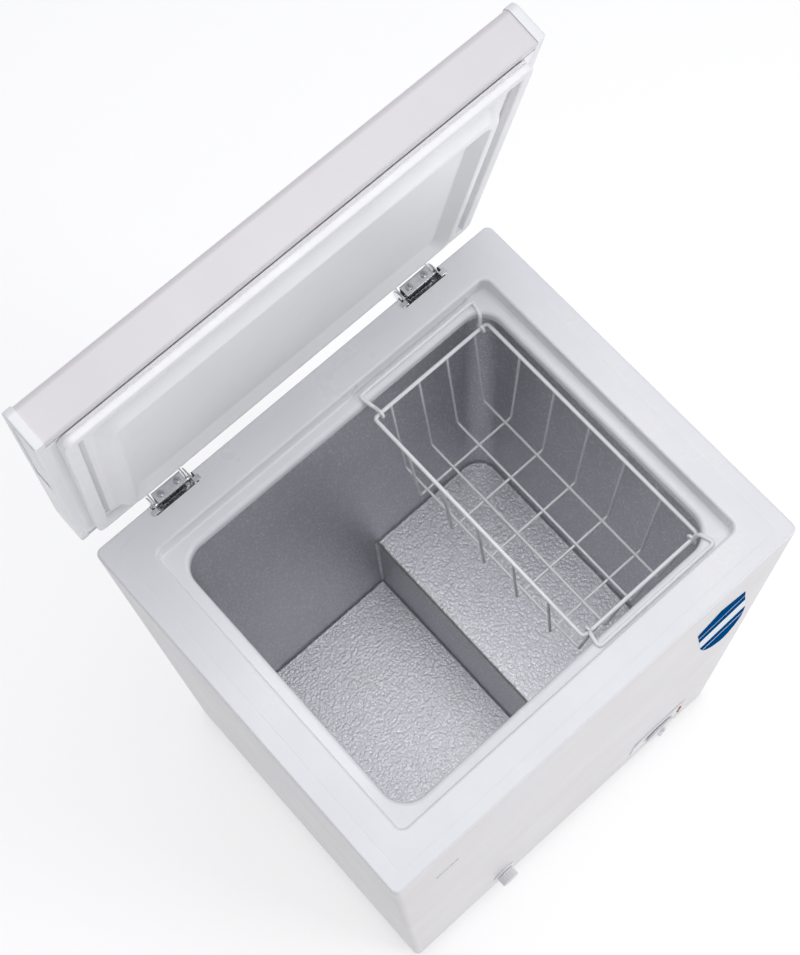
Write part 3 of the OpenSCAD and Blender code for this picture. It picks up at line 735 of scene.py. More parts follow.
# Feet: four moulded black rubber pads pressed into the base pan, each with a wide tread below a
# narrower neck.
foot = lathe(
    [
        (17.2, 0.0), (18.6, 0.8), (19.0, 2.0), (18.6, 4.4), (17.8, 5.0), (13.6, 5.6), (13.0, 6.6),
        (13.0, feet_h),
    ],
    36,
)
fit(
    "moulded_feet",
    copies_of(
        foot, [((x, y, 0), (0, 0, 1)) for x in (-229.5, 229.5) for y in (-189, 189)], nitrile
    ),
    nitrile, "cabinet", ["feet"], outward=True,
)

# Control panel: a moulded white bezel snapped into the front, low on the right. The thermostat dial
# turns on its spindle, and three small lenses stand in a column beside it.
moulded_abs = finish("moulded_white_abs", "#e8e8ea", "#e4e4e7", 40, 0.34, 0.05, 1.2, 0.004)
front_y = -cabinet_half_d
panel_x, panel_z, dial_seat = 167.0, 105.0, front_y - 2.35


def aim_front(mesh, x, z, y=front_y):
    """Stands a turned part on the front, its Z axis pointing out of it"""
    mesh.transform(
        Matrix.Translation(Vector((x, y, z)) * MM) @ Matrix.Rotation(math.radians(90), 4, "X")
    )
    return mesh


bezel = loft_mesh(
    framed_plate(
        panel_x, panel_z, 98, 86, 20,
        (
            (0.0, front_y + 0.5), (0.0, front_y - 0.9), (0.35, front_y - 1.6), (1.2, front_y - 2.0),
            (4.5, front_y - 2.0), (5.2, front_y - 1.2), (6.4, front_y - 1.2),
        ),
    ),
    capped=True,
)
recess = lathe(
    [(28.0, 1.2), (27.6, 1.9), (26.2, 2.0), (25.4, 1.4), (25.2, 1.25), (12, 1.25), (3.4, 1.25)], 64,
)
bezel = join_meshes([bezel, aim_front(recess, panel_x, panel_z)])
fit(
    "control_panel_bezel", bezel, moulded_abs, "cabinet", ["control_panel"],
    outward=True,
)
carry_over(["thermostat_body"], black_plastic)


# Thermostat dial: moulded white knob with a knurled skirt, a raised grip bar and a grey mark.
def knurled_loops(profile, ridges, steps):
    """Loops about the Z axis from (radius, height, ripple) rows in mm, with even ridges"""
    loops = []
    for radius, height, ripple in profile:
        loop = []
        for i in range(steps):
            t = 2 * math.pi * i / steps
            out = radius + ripple * math.cos(ridges * t)
            loop.append((out * math.cos(t), out * math.sin(t), height))
        loops.append(loop)
    return loops


knob_profile = [
    (22.8, 0.0, 0.0), (23.6, 0.4, 0.35), (23.6, 2.6, 0.35), (22.6, 3.4, 0.1), (20.4, 4.0, 0.0),
    (11.0, 4.2, 0.0), (4.0, 4.2, 0.0),
]
knob_disc = loft_mesh(knurled_loops(knob_profile, 36, 144), capped=True)
grip = loft_mesh(
    [
        corner_loop(half_w, half_l, min(half_w, 3.8), z, steps=6)
        for half_w, half_l, z in (
            (4.6, 20.4, 3.4), (4.1, 20.0, 4.6), (3.6, 19.6, 7.2), (3.0, 19.0, 7.9), (2.0, 18.0, 8.0)
        )
    ],
    capped=True,
)
mark = loft_mesh(
    [corner_loop(0.8, 5.0, 0.5, z, centre_y=12.0, steps=4) for z in (7.9, 8.02)], capped=True
)
# Tampon-printed grey ink: flat and dull, laid on the white plastic
grey_ink = finish("grey_printed_ink", "#6f7277", "#7b7e83", 6, 0.5, 0.05, 0.5, 0.005)
knob_mesh = join_meshes([knob_disc, grip, mark])
aim_front(knob_mesh, panel_x, panel_z, dial_seat)
knob_mesh.materials.append(moulded_abs)
knob_mesh.materials.append(grey_ink)
ink_front = (dial_seat - 7.95) * MM
for polygon in knob_mesh.polygons:
    if polygon.center.y < ink_front and abs(polygon.center.x - panel_x * MM) < 0.9 * MM:
        if polygon.center.z > (panel_z + 6.5) * MM:
            polygon.material_index = 1
fit(
    "thermostat_dial", knob_mesh, moulded_abs, "knob", ["thermostat_knob"],
    outward=True,
)

# Indicator lenses: three pressed-in plastic light pipes, green, amber and red.
# Tinted clear acrylic: wet-looking, strongly coloured, glossy
lens_mesh = lathe([(2.4, -1.0), (2.4, 1.8), (2.1, 2.4), (1.3, 2.75), (0.4, 2.8)], 20)
lens_seats = [(panel_x + 38.0, front_y, panel_z + step * 13.0) for step in (-1, 0, 1)]
lens_finishes = [
    finish(f"tinted_acrylic_{name}", colour, shade, 3, 0.12, 0.03, 0.4, 0.004, ior=1.49)
    for name, colour, shade in (
        ("green", "#3f9a58", "#2f8348"), ("amber", "#d9942c", "#bd7d20"),
        ("red", "#c23a32", "#a52c26"),
    )
]
lens_joined = bmesh.new()
for i, seat in enumerate(lens_seats):
    before = len(lens_joined.faces)
    lens_joined.from_mesh(copies_of(lens_mesh, [(seat, (0, -1, 0))], lens_finishes[i]))
    lens_joined.faces.ensure_lookup_table()
    for face in lens_joined.faces[before:]:
        face.material_index = i
lenses = bpy.data.meshes.new("indicator_light_pipes")
lens_joined.to_mesh(lenses)
lens_joined.free()
for lens_finish in lens_finishes:
    lenses.materials.append(lens_finish)
fit(
    "indicator_light_pipes", lenses, None, "cabinet", ["indicator_lenses"],
    outward=True,
)

# Drain: a turned plastic outlet with a flange against the front sheet, a ribbed push-on cap over
# its spout, and a soft plug with a finger grip in the floor of the liner.
drain_x, drain_z = -113.0, 92.0
# Moulded polyethylene: white, waxy, a little translucent at its thin edges
white_polyethylene = finish(
    "moulded_white_polyethylene", "#f5f5f6", "#eeeef0", 15, 0.42, 0.06, 0.9, 0.005
)
carry_over(["drain_tube"], white_polyethylene)
outlet = lathe(
    [
        (6.2, 0.2), (8.4, 0.0), (16.4, 0.0), (17.0, 0.5), (16.6, 1.6), (13.5, 2.6), (9.6, 3.0),
        (9.0, 3.6), (9.0, 12.4), (8.4, 13.0), (6.4, 13.0), (6.0, 12.4),
    ],
    48,
)
fit(
    "drain_outlet_flange", aim_front(outlet, drain_x, drain_z), white_polyethylene, "cabinet",
    ["drain_outlet"], outward=True,
)
cap_profile = [
    (9.5, 0.0, 0.0), (12.6, 0.0, 0.0), (13.0, 0.5, 0.0), (13.0, 1.8, 0.0), (12.4, 2.4, 0.45),
    (12.4, 10.6, 0.45), (12.2, 12.0, 0.2), (11.0, 12.8, 0.0), (9.0, 13.0, 0.0), (7.6, 12.3, 0.0),
    (3.0, 12.3, 0.0),
]
cap_loops = knurled_loops(cap_profile, 24, 96)
socket_floor = [(x, y, 10.0) for x, y, _ in cap_loops[0]]
cap_mesh = loft_mesh([socket_floor, *cap_loops], capped=True)
fit(
    "drain_cap_ribbed", aim_front(cap_mesh, drain_x, drain_z, front_y - 3.3), white_polyethylene,
    "outer_cap", ["drain_cap"], outward=True,
)
plug_body = lathe(
    [
        (8.0, -8.0), (8.5, -7.4), (8.5, 0.0), (13.4, 0.0), (14.0, 0.7), (13.8, 2.4), (12.6, 3.3),
        (4.0, 3.6),
    ],
    40,
)
grip_profile = ((2.2, 7.6, 3.2), (1.6, 7.0, 4.6), (1.5, 6.6, 10.4), (1.0, 6.0, 11.8))
plug_grip = loft_mesh(
    [corner_loop(half_x, half_l, half_x - 0.1, z, steps=5) for half_x, half_l, z in grip_profile],
    capped=True,
)
plug_mesh = join_meshes([plug_body, plug_grip])
plug_mesh.transform(Matrix.Translation(Vector((drain_x, -140.0, liner_floor + 0.1)) * MM))
fit(
    "drain_plug_with_grip", plug_mesh, white_polyethylene, "inner_plug", ["drain_plug"],
    outward=True,
)

# Front label: a shield-shaped vinyl sticker with a plain white band and two thin stripes, and no
# lettering. Printed blue on matt film, stuck on the front at a slight slant, as hands do.
label_mid, label_tilt = (200.0, 580.0), math.radians(11)
tilt_cos, tilt_sin = math.cos(label_tilt), math.sin(label_tilt)
half_shield = [(34, 103), (34, -30), (31.5, -62), (26, -88), (17.5, -110), (7, -126)]
shield = [
    (u * tilt_cos - w * tilt_sin, u * tilt_sin + w * tilt_cos)
    for u, w in half_shield[::-1] + [(0, 129)] + [(-u, w) for u, w in half_shield] + [(0, -129)]
]
printed_vinyl, vinyl, vinyl_shader, vinyl_place = new_surface("printed_blue_vinyl_film")
vinyl_xyz = add_node(vinyl, "ShaderNodeSeparateXYZ", {0: vinyl_place}).outputs
# The bands follow the slant, so they are measured along the label's own height
vinyl_across = maths(vinyl, "MULTIPLY", vinyl_xyz[0], -tilt_sin)
vinyl_rise = maths(vinyl, "MULTIPLY_ADD", vinyl_xyz[2], tilt_cos, vinyl_across)
label_rise = label_mid[1] * tilt_cos - label_mid[0] * tilt_sin
# Matt blue ink with no shine of its own, a little deeper in places
ink_drift = add_node(
    vinyl, "ShaderNodeTexNoise", {"Vector": vinyl_place, "Scale": 1 / (20 * MM), "Detail": 2.0}
)
ink = mixed(vinyl, ink_drift.outputs[0], linear("#004f8c"), linear("#004378"))
for middle, half_height in ((10.0, 27.0), (-55.0, 2.2), (72.0, 1.6)):
    away = maths(vinyl, "SUBTRACT", vinyl_rise, (label_rise + middle) * MM)
    in_band = maths(vinyl, "LESS_THAN", maths(vinyl, "ABSOLUTE", away), half_height * MM)
    ink = mixed(vinyl, in_band, ink, linear("#eef2f5"))
film = add_node(vinyl, "ShaderNodeTexNoise", {"Vector": vinyl_place, "Scale": 1 / (2.0 * MM)})
film_relief = add_node(
    vinyl, "ShaderNodeBump", {"Height": film.outputs[0], "Distance": 0.01 * MM, "Strength": 1.0}
)
drive(vinyl, vinyl_shader, ink, film_relief)
vinyl_shader.inputs["Roughness"].default_value = 0.6
vinyl_shader.inputs["Specular IOR Level"].default_value = 0.0
vinyl_shader.inputs["IOR"].default_value = 1.53
label_mesh = loft_mesh(
    [
        [(label_mid[0] + x * k, y, label_mid[1] + z * k) for x, z in shield]
        for k, y in ((1.0, front_y - 0.02), (1.0, front_y - 0.3), (0.997, front_y - 0.4))
    ],
    capped=True,
)
fit(
    "front_label_film", label_mesh, printed_vinyl, "cabinet", ["front_label"],
    outward=True,
)

# Badge: a small blank strip of brushed aluminium, stuck on near the top left of the front.
brushed_badge = finish(
    "brushed_aluminium_strip", "#c9cacd", "#b5b6ba", 4, 0.34, 0.08, 0.3, 0.006, metallic=1.0
)
badge_loops = framed_plate(
    -204.0, 656.0, 30, 7, 2, ((0, front_y - 0.02), (0, front_y - 0.4), (0.25, front_y - 0.6))
)
fit(
    "front_badge_blank", loft_mesh(badge_loops, capped=True), brushed_badge,
    "cabinet", ["front_badge"], outward=True,
)

# Hinges: pressed and chromed steel bases screwed into the collar's pockets, each with a riveted
# pin through two cheeks and a counterbalance spring wound on the pin.
chrome = finish(
    "bright_chrome_plate", "#f0f0f2", "#dcdde0", 9, 0.16, 0.05, 1.2, 0.004, metallic=1.0
)
spring_wire = finish(
    "zinc_plated_spring_wire", "#e2e3e5", "#b9bbbf", 3, 0.25, 0.08, 0.8, 0.004, metallic=1.0
)
pin_y, pin_z, pin_r = 227.0, 780.5, 3.0
hinge_half, hinge_front, hinge_floor, hinge_foot, sheet_gauge = 24.4, 214.5, 768.0, 734.0, 1.5
cover_half, cover_back, cover_top, cover_gauge = 18.4, 235.6, 792.6, 1.4


def upright_plate(outline, x0, x1):
    """Sheet cut to an outline of (y, z) and standing across X"""
    return loft_mesh([[(x, y, z) for y, z in outline] for x in (x0, x1)], capped=True)


cheek = (
    [(hinge_front, hinge_floor), (pin_y, hinge_floor)]
    + arc(pin_y, pin_z, 12.5, -90, 90, 18)[1:]
    + [(hinge_front + 6.5, collar_top), (hinge_front, collar_top)]
)
for side, hinge_x in zip(("left", "right"), hinge_xs):
    sheets = []
    for x0 in (-hinge_half, hinge_half - sheet_gauge):
        sheets.append(upright_plate(cheek, hinge_x + x0, hinge_x + x0 + sheet_gauge))
    # Floor, foot down the back and front wall, then a cover folded up behind the spring and over it
    for half, y0, z0, y1, z1 in (
        (hinge_half, hinge_front, hinge_floor, 229.0, hinge_floor + sheet_gauge),
        (hinge_half, 227.05, hinge_foot, 228.8, hinge_floor + sheet_gauge),
        (hinge_half - 1, hinge_front, hinge_floor + 1, hinge_front + 1.2, 784.0),
        (cover_half, 228.0, hinge_floor, cover_back, hinge_floor + sheet_gauge),
        (cover_half, cover_back - cover_gauge, hinge_floor, cover_back, cover_top),
        (cover_half, 222.0, cover_top - cover_gauge, cover_back, cover_top),
    ):
        sheets.append(slab((hinge_x - half, y0, z0), (hinge_x + half, y1, z1)))
    # Wings that rest on the collar's top beside the pocket
    for near, far in ((-30.9, -22.9), (22.9, 30.9)):
        sheets.append(
            slab(
                (hinge_x + near, hinge_front, collar_top),
                (hinge_x + far, hinge_front + 6.0, collar_top + sheet_gauge),
            )
        )
    fit(
        f"hinge_base_{side}_chromed", join_meshes(sheets), chrome, "cabinet",
        [f"hinge_base_{side}"], sharp=30, outward=True, edge=0.35,
    )

rivet = [(pin_r, 24.45), (4.4, 24.5), (4.4, 25.0), (3.8, 25.6), (2.0, 25.9)]
pin_profile = [(radius, -x) for radius, x in reversed(rivet)] + rivet
fit(
    "hinge_pins_riveted",
    copies_of(lathe(pin_profile, 20), [((x, pin_y, pin_z), (1, 0, 0)) for x in hinge_xs], chrome),
    chrome, "cabinet", ["hinge_pins"], outward=True,
)
fit(
    "hinge_base_screw_heads",
    copies_of(
        screw_head(4.0, 1.9),
        [((hx + x, back_y + 2.0, 748.0), (0, 1, 0)) for hx in hinge_xs for x in (-12, 12)]
        + [((hx + x, 229.0, cover_top), (0, 0, 1)) for hx in hinge_xs for x in (-10.5, 10.5)],
        zinc_plate,
    ),
    zinc_plate, "cabinet", ["hinge_screws"], outward=True,
)


def coil_tree():
    """Geometry nodes: a wire wound into an even coil with closed ends"""
    tree, inputs, given = geometry_group(
        "wound_spring",
        (
            ("Geometry", "Geometry"), ("Turns", "Float"), ("Coil Radius", "Float"),
            ("Length", "Float"), ("Wire Radius", "Float"), ("Finish", "Material"),
        ),
    )
    helix = add_node(
        tree, "GeometryNodeCurveSpiral",
        {
            "Resolution": 20, "Rotations": given["Turns"], "Start Radius": given["Coil Radius"],
            "End Radius": given["Coil Radius"], "Height": given["Length"],
        },
    )
    section = add_node(
        tree, "GeometryNodeCurvePrimitiveCircle", {"Resolution": 8, "Radius": given["Wire Radius"]}
    )
    swept = add_node(
        tree, "GeometryNodeCurveToMesh",
        {"Curve": helix.outputs[0], "Profile Curve": section.outputs[0], "Fill Caps": True},
    )
    finish_group(tree, swept, given["Finish"])
    return tree, inputs


coil_group, coil_inputs = coil_tree()
coil_holder = put("coil_holder", bpy.data.meshes.new("coil_holder"))
winding = coil_holder.modifiers.new("winding", "NODES")
winding.node_group = coil_group
coil_length = 31.6
for label, value in (
    ("Turns", 14.0), ("Coil Radius", 4.75 * MM), ("Length", coil_length * MM),
    ("Wire Radius", 1.15 * MM), ("Finish", spring_wire),
):
    winding[coil_inputs[label]] = value
coil_mesh = final_mesh(coil_holder)
springs = []
for hinge_x in hinge_xs:
    wound = coil_mesh.copy()
    wound.transform(
        Matrix.Translation(Vector((hinge_x - coil_length / 2, pin_y, pin_z)) * MM)
        @ Matrix.Rotation(math.radians(90), 4, "Y")
    )
    springs.append(wound)
fit(
    "hinge_springs_wound", join_meshes(springs), spring_wire, "cabinet",
    ["hinge_springs"], sharp=80, outward=True,
)


# Lid: built shut and then swung open about the hinge pin. The skin is one painted steel sheet
# folded round the foam from front to back, with a flat hem turned in along both long edges.
pin_line = Vector((0, pin_y, pin_z)) * MM
lid_turn = Matrix.Rotation(math.radians(-79), 4, "X")
lid_swing = Matrix.Translation(pin_line) @ lid_turn @ Matrix.Translation(-pin_line)


def swing_open(mesh):
    """Swings a piece of the shut lid open"""
    mesh.transform(lid_swing)
    return mesh


def swung_seat(at, facing):
    """Where a seat on the shut lid goes when the lid opens"""
    return (lid_swing @ (Vector(at) * MM)) / MM, lid_turn @ Vector(facing)


lid_low, lid_high, lid_front, lid_back = 803.4, 844.9, -226.0, 244.0
cap_wall, lid_round, lid_mid = 1.5, 9.0, (lid_front + lid_back) / 2


def lid_section(inset, low):
    """End view of the lid, inset from its outside, from the front hem over the top to the back"""
    r = lid_round - inset
    y0, y1 = lid_front + inset, lid_back - inset
    top = lid_high - inset
    return (
        [(y0, lid_low + low)]
        + arc(y0 + r, top - r, r, 180, 90, 8)
        + arc(y1 - r, top - r, r, 90, 0, 8)
        + [(y1, lid_low + low)]
    )


skin_line = lid_section(cap_wall + 0.1, 2.1)
hem_y0, hem_y1 = -211.9, 229.9
skin_y0, skin_y1 = skin_line[0][0], skin_line[-1][0]
front_hem = [
    (hem_y0, lid_low + 1.0), (hem_y0, lid_low + 0.2), (skin_y0 + 2.0, lid_low + 0.1),
    (skin_y0 + 0.6, lid_low + 0.6),
]
back_hem = [
    (skin_y1 - 0.6, lid_low + 0.6), (skin_y1 - 2.0, lid_low + 0.1), (hem_y1, lid_low + 0.2),
    (hem_y1, lid_low + 1.0),
]
skin_line = front_hem + skin_line + back_hem
fit(
    "lid_skin_sheet",
    swing_open(
        loft_mesh(
            [[(x, y, z) for y, z in skin_line] for x in (263.4, 90.0, -90.0, -263.4)], ring=False,
        )
    ),
    white_enamel, "lid", ["lid_skin"], wall=0.8,
)

# Lid end caps: moulded white trays pushed over both ends of the skin, each with a shallow sunk
# panel and one screw that holds it to the foam.
cap_inner, cap_face = 258.0, 267.5
for side, way in (("left", -1), ("right", 1)):
    loops = []
    for inset, x in (
        (1.7, 263.8), (1.7, cap_inner + 0.3), (1.2, cap_inner), (0.3, cap_inner),
        (0.02, cap_inner + 0.3), (0.02, cap_face - 2.0), (0.25, cap_face - 1.0),
        (0.85, cap_face - 0.3), (2.0, cap_face), (4.6, cap_face), (4.9, cap_face - 0.7),
        (5.7, cap_face - 0.7), (6.0, cap_face),
    ):
        loops.append([(way * x, y, z) for y, z in lid_section(inset, inset)])
    cap_mesh = loft_mesh(loops, capped=True)
    cap_bm = bmesh.new()
    cap_bm.from_mesh(cap_mesh)
    bmesh.ops.recalc_face_normals(cap_bm, faces=cap_bm.faces)
    cap_bm.to_mesh(cap_mesh)
    cap_bm.free()
    x0, x1 = sorted((way * (cap_face - 1.1), way * (cap_face + 5)))
    sunk = slab((x0, -214.0, lid_low + 10.0), (x1, -8.0, lid_high - 9.5))
    cap_mesh = cut_out(cap_mesh, [sunk])
    fit(
        f"lid_end_cap_{side}_moulding", swing_open(cap_mesh), moulded_collar, "lid",
        [f"lid_end_cap_{side}"], sharp=35,
    )
fit(
    "end_cap_screw_heads",
    copies_of(
        screw_head(3.4, 0.45),
        [
            swung_seat((way * (cap_face - 0.75), lid_mid, lid_low + 20.75), (way, 0, 0))
            for way in (-1, 1)
        ],
        zinc_plate,
    ),
    zinc_plate, "lid", ["end_cap_screws"], outward=True,
)

# Lid foam: the same polyurethane as in the cabinet, foamed between the skin and the liner.
foam_loops = [
    corner_loop(257.0, 229.5, 3.0, lid_high - 2.8, centre_y=lid_mid),
    corner_loop(259.5, 232.3, 4.0, lid_high - 6.0, centre_y=lid_mid),
    corner_loop(259.5, 232.3, 4.0, lid_low + 4.0, centre_y=lid_mid),
    corner_loop(224.0, 183.0, 18.0, lid_low + 3.0), corner_loop(207.0, 166.0, 14.0, lid_low - 12.0),
    corner_loop(203.0, 162.0, 13.0, lid_low - 12.0), corner_loop(187.0, 147.0, 8.0, lid_low - 5.0),
]
fit(
    "lid_foam_core", swing_open(loft_mesh(foam_loops, capped=True)), cream_foam,
    "lid", ["lid_foam"], outward=True,
)

# Lid liner: one thermoformed sheet of white polystyrene. A raised frame plugs the mouth of the
# chest, with a sunk centre panel, and a step outside it leads to the flange that holds the gasket.
thermoformed = finish(
    "thermoformed_white_polystyrene", "#fafafb", "#f6f6f8", 60, 0.34, 0.04, 4.0, 0.006
)
# Near-black painted shadow for the gap between the skin's hem and the gasket
gasket_gap_painted_shadow = finish("painted_shadow_in_gasket_gap", "#0c0c0e", "#161618", 10, 0.7, 0.05, 0.6, 0.01)
liner_rings = [
    (186.0, 146.0, 7.0, -7.6), (189.2, 149.2, 8.0, -8.0), (190.6, 150.6, 8.5, -8.3),
    (203.2, 163.2, 12.0, -17.2), (204.4, 164.4, 12.5, -17.8), (206.0, 166.0, 13.0, -18.0),
    (210.4, 170.4, 15.0, -18.0), (212.0, 172.0, 15.5, -17.6), (213.0, 173.0, 16.0, -16.6),
    (221.4, 180.4, 19.0, -7.0), (222.4, 181.4, 19.5, -6.2), (223.8, 182.8, 20.0, -6.0),
    (229.0, 189.0, 16.0, -6.0), (230.2, 190.4, 15.0, -5.6), (232.4, 193.4, 13.0, -0.6),
    (233.6, 194.8, 12.0, 0.1), (236.0, 198.0, 6.0, 0.1), (248.0, 210.0, 6.0, 0.1),
]
rings = [
    corner_loop(half_x, half_y, radius, lid_low + 0.15 + z)
    for half_x, half_y, radius, z in liner_rings
]
flange_y0, flange_y1 = hem_y0 + 1.4, hem_y1 - 0.9
flange_mid, flange_half = (flange_y0 + flange_y1) / 2, (flange_y1 - flange_y0) / 2
for half_x, out, z in ((258.4, 0.0, 0.25), (258.4, 0.0, 1.6), (258.6, 2.5, 1.6)):
    rings.append(corner_loop(half_x, flange_half + out, 1.5, lid_low + z, centre_y=flange_mid))
lid_liner_mesh = loft_mesh(rings)
liner_bm = bmesh.new()
liner_bm.from_mesh(lid_liner_mesh)
liner_bm.verts.ensure_lookup_table()
liner_bm.faces.new([liner_bm.verts[i] for i in reversed(range(len(rings[0])))])
liner_bm.normal_update()
if sum(f.normal.z * f.calc_area() for f in liner_bm.faces) > 0:
    bmesh.ops.reverse_faces(liner_bm, faces=liner_bm.faces)
liner_bm.to_mesh(lid_liner_mesh)
liner_bm.free()
lid_liner_mesh.materials.append(thermoformed)
lid_liner_mesh.materials.append(gasket_gap_painted_shadow)
# The flange's outer lip gets the painted shadow, so the gap at the gasket's foot reads dark
for polygon in lid_liner_mesh.polygons:
    if polygon.center.z > (lid_low + 0.9) * MM:
        polygon.material_index = 1
fit(
    "lid_liner_sheet", swing_open(lid_liner_mesh), thermoformed, "lid", ["lid_liner"],
    sharp=50, wall=1.2,
)

# Gasket: a soft white vinyl extrusion with mitred and welded corners. A bellows joins its dart to
# the fat edge that holds the magnet strip.
soft_vinyl = finish("extruded_soft_white_vinyl", "#fafafb", "#f5f5f7", 25, 0.5, 0.06, 1.0, 0.006)
gasket_profile = [
    (0.8, 0.1), (0.2, 0.9), (1.0, 2.2), (1.2, 3.0), (0.1, 4.4), (0.0, 5.2), (0.0, 9.2), (0.6, 10.4),
    (1.8, 11.0), (11.2, 11.0), (12.4, 10.4), (13.0, 9.2), (13.0, 5.2), (12.9, 4.4), (11.8, 3.0),
    (12.0, 2.2), (12.8, 0.9), (12.2, 0.1),
]
gasket_loops = [
    corner_loop(249.5 - inward, 211.5 - inward, max(12.0 - inward, 1.2), lid_low - down)
    for inward, down in gasket_profile
]
fit(
    "lid_gasket_extrusion", swing_open(loft_mesh(gasket_loops, tube=True)),
    soft_vinyl, "lid", ["lid_gasket"], sharp=50, outward=True,
)

# Vent plug: a small dark grey push-in button that closes the foaming hole in the lid liner.
dark_button = finish("moulded_dark_grey_polyamide", "#4b4c50", "#3f4044", 5, 0.45, 0.05, 0.5, 0.01)
vent_at, vent_way = swung_seat((172, -189, lid_low), (0, 0, -1))
vent = lathe([(1.9, -3.0), (1.9, -0.2), (3.2, 0.0), (3.2, 0.5), (2.5, 1.0), (0.8, 1.0)], 20)
fit(
    "lid_vent_button", copies_of(vent, [(vent_at, vent_way)], dark_button), dark_button, "lid",
    ["lid_vent_plug"], outward=True,
)

# Hinge leaves: pressed chromed plates screwed under the lid's back edge, whose two ears turn on
# the pin inside the base's cheeks.
leaf_half, leaf_y0, leaf_y1, leaf_z, leaf_gauge = 21.5, 213.0, 241.0, 801.9, 1.45
ear = [(pin_y - 6.0, 803.0)] + arc(pin_y, pin_z, 6.0, 180, 360, 14) + [(pin_y + 6.0, 803.0)]
for side, hinge_x in zip(("left", "right"), hinge_xs):
    sheets = [
        slab(
            (hinge_x - leaf_half, leaf_y0, leaf_z),
            (hinge_x + leaf_half, leaf_y1, leaf_z + leaf_gauge),
        ),
        slab(
            (hinge_x - leaf_half + 2, leaf_y0, leaf_z - 3.4),
            (hinge_x + leaf_half - 2, leaf_y0 + 1.2, leaf_z + 0.2),
        ),
    ]
    for x0 in (-leaf_half, leaf_half - sheet_gauge):
        sheets.append(upright_plate(ear, hinge_x + x0, hinge_x + x0 + sheet_gauge))
    fit(
        f"hinge_leaf_{side}_chromed", swing_open(join_meshes(sheets)), chrome, "lid",
        [f"hinge_leaf_{side}"], sharp=30, outward=True, edge=0.3,
    )
fit(
    "leaf_screw_heads",
    copies_of(
        screw_head(3.4, 1.8, 1.5),
        [
            swung_seat((hx + x, pin_y - 8.5, leaf_z), (0, 0, -1))
            for hx in hinge_xs
            for x in (-10, 10)
        ],
        zinc_plate,
    ),
    zinc_plate, "lid", ["leaf_screws"], outward=True,
)

# Basket: drawn steel wire, resistance welded at every crossing and dipped in white epoxy. A heavy
# rim carries four long and five cross wires, each bent once on its way down.
# Fused epoxy coating: thick, smooth and glossy, filling the weld corners
epoxy_coating = finish("fused_white_epoxy_on_wire", "#fbfbfc", "#f4f4f6", 12, 0.32, 0.05, 1.5, 0.01)


def eased(points, bend, closed=False):
    """The same line with every corner eased into a bend of the given reach, in mm"""
    steps = 6
    points = [Vector(p) for p in points]
    line = []
    for i, p in enumerate(points):
        if not closed and i in (0, len(points) - 1):
            line.append(p)
            continue
        before, after = points[i - 1] - p, points[(i + 1) % len(points)] - p
        reach = min(bend, 0.48 * before.length, 0.48 * after.length)
        a, b = p + before.normalized() * reach, p + after.normalized() * reach
        for k in range(steps + 1):
            t = k / steps
            line.append((1 - t) ** 2 * a + 2 * t * (1 - t) * p + t * t * b)
    return line


def wires_mesh(lines, radius):
    """Round wires along lines of points in mm; a line is its points and whether it closes"""
    curve = bpy.data.curves.new("wires", "CURVE")
    curve.dimensions = "3D"
    curve.bevel_depth = radius * MM
    curve.bevel_resolution = 4
    curve.use_fill_caps = True
    for points, closed in lines:
        spline = curve.splines.new("POLY")
        spline.points.add(len(points) - 1)
        for knot, p in zip(spline.points, points):
            knot.co = (*(Vector(p) * MM), 1)
        spline.use_cyclic_u = closed
    return final_mesh(put("wires", curve))


rim_x0, rim_x1, rim_y, rim_z, rim_wire = 43.5, 203.0, 158.0, 748.0, 2.3
rim_corners = ((rim_x0, -rim_y), (rim_x1, -rim_y), (rim_x1, rim_y), (rim_x0, rim_y))
rim_line = eased([(x, y, rim_z) for x, y in rim_corners], 5.0, closed=True)
long_xs = (66.0, 105.5, 145.0, 185.0)
cross_ys = (-106.0, -53.0, 0.0, 53.0, 106.0)
thin_wire, long_z, cross_z, knee_y, knee_x0, knee_x1 = 1.6, 583.0, 579.9, 141.5, 56.0, 195.0


def weld_bead(radius):
    """Little mound of metal squeezed out of a weld, under its coating"""
    bead = bmesh.new()
    bmesh.ops.create_icosphere(bead, subdivisions=2, radius=radius * MM)
    for vert in bead.verts:
        vert.co.z *= 0.8
    made = bpy.data.meshes.new("bead")
    bead.to_mesh(made)
    bead.free()
    return made


def fit_wires(name, meshes, body, node):
    """Joins coated wires into one piece of the basket"""
    fit(name, join_meshes(meshes), epoxy_coating, body, [node], sharp=80)


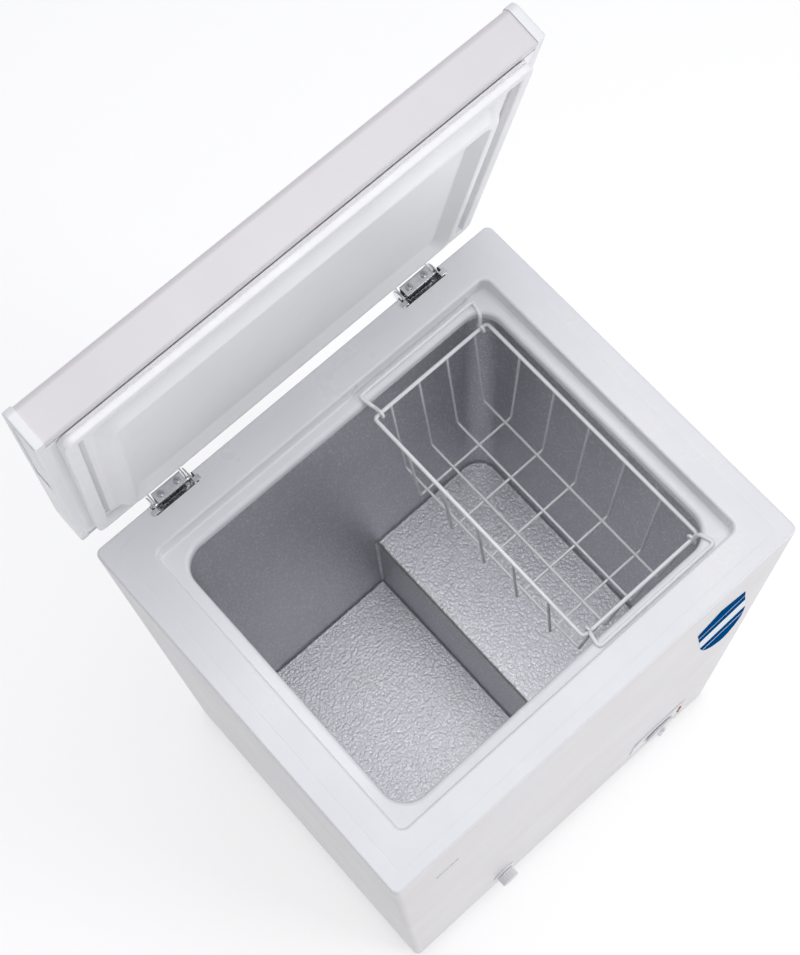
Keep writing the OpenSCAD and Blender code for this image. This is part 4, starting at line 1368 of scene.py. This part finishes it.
weld_z, end_z, bend = rim_z - 1.6, rim_z - 1.5, 6.0
rim_beads = [((x, way * (rim_y - 0.4), weld_z), (0, way, 1)) for x in long_xs for way in (-1, 1)]
rim_beads += [((rim_x0 + 0.4, y, weld_z), (-1, 0, 1)) for y in cross_ys]
rim_beads += [((rim_x1 - 0.4, y, weld_z), (1, 0, 1)) for y in cross_ys]
rim_welds = copies_of(weld_bead(2.4), rim_beads, epoxy_coating)
fit_wires(
    "basket_rim_wire", [wires_mesh([(rim_line, True)], rim_wire), rim_welds], "basket", "basket_rim"
)
long_lines = []
for x in long_xs:
    dip = [(-rim_y + 0.5, end_z), (-knee_y, long_z), (knee_y, long_z), (rim_y - 0.5, end_z)]
    long_lines.append((eased([(x, y, z) for y, z in dip], bend), False))
fit(
    "basket_long_wires_coated", wires_mesh(long_lines, thin_wire), epoxy_coating, "basket",
    ["basket_long_wires"], sharp=80,
)
cross_lines = []
for y in cross_ys:
    dip = [(rim_x0 + 0.5, end_z), (knee_x0, cross_z), (knee_x1, cross_z), (rim_x1 - 0.5, end_z)]
    cross_lines.append((eased([(x, y, z) for x, z in dip], bend), False))
crossing_beads = [((x, y, (long_z + cross_z) / 2), (0, 0, 1)) for x in long_xs for y in cross_ys]
crossing_welds = copies_of(weld_bead(2.0), crossing_beads, epoxy_coating)
fit_wires(
    "basket_cross_wires_coated", [wires_mesh(cross_lines, thin_wire), crossing_welds],
    "basket", "basket_cross_wires",
)

# Hangers: bent wire handles whose closed eyes turn on the rim's end wires. Laid outward they rest
# on the collar's ledge and carry the basket; folded in they lie over it.
hanger_wire, eye_wire, eye_r, eye_in = 2.2, 1.9, 4.8, 8.5
hanger_z, hanger_y = 772.43, 179.0
for side, way in (("front", -1), ("rear", 1)):
    bow_points = [
        (rim_x0 + eye_in, rim_y + 1.6, rim_z + 4.5), (rim_x0 + 2.5, rim_y + 4.0, hanger_z),
        (rim_x0 - 1.0, hanger_y, hanger_z), (rim_x1 - 1.0, hanger_y, hanger_z),
        (rim_x1 - 6.0, rim_y + 4.0, hanger_z), (rim_x1 - eye_in, rim_y + 1.6, rim_z + 4.5),
    ]
    bow = eased([(x, way * y, z) for x, y, z in bow_points], bend)
    eyes = [
        ([(x, way * rim_y + dy, rim_z + dz) for dy, dz in arc(0, 0, eye_r, 0, 345, 23)], True)
        for x in (rim_x0 + eye_in, rim_x1 - eye_in)
    ]
    fit_wires(
        f"hanger_{side}_wire",
        [wires_mesh([(bow, False)], hanger_wire), wires_mesh(eyes, eye_wire)],
        f"{side}_hanger", f"hanger_{side}",
    )
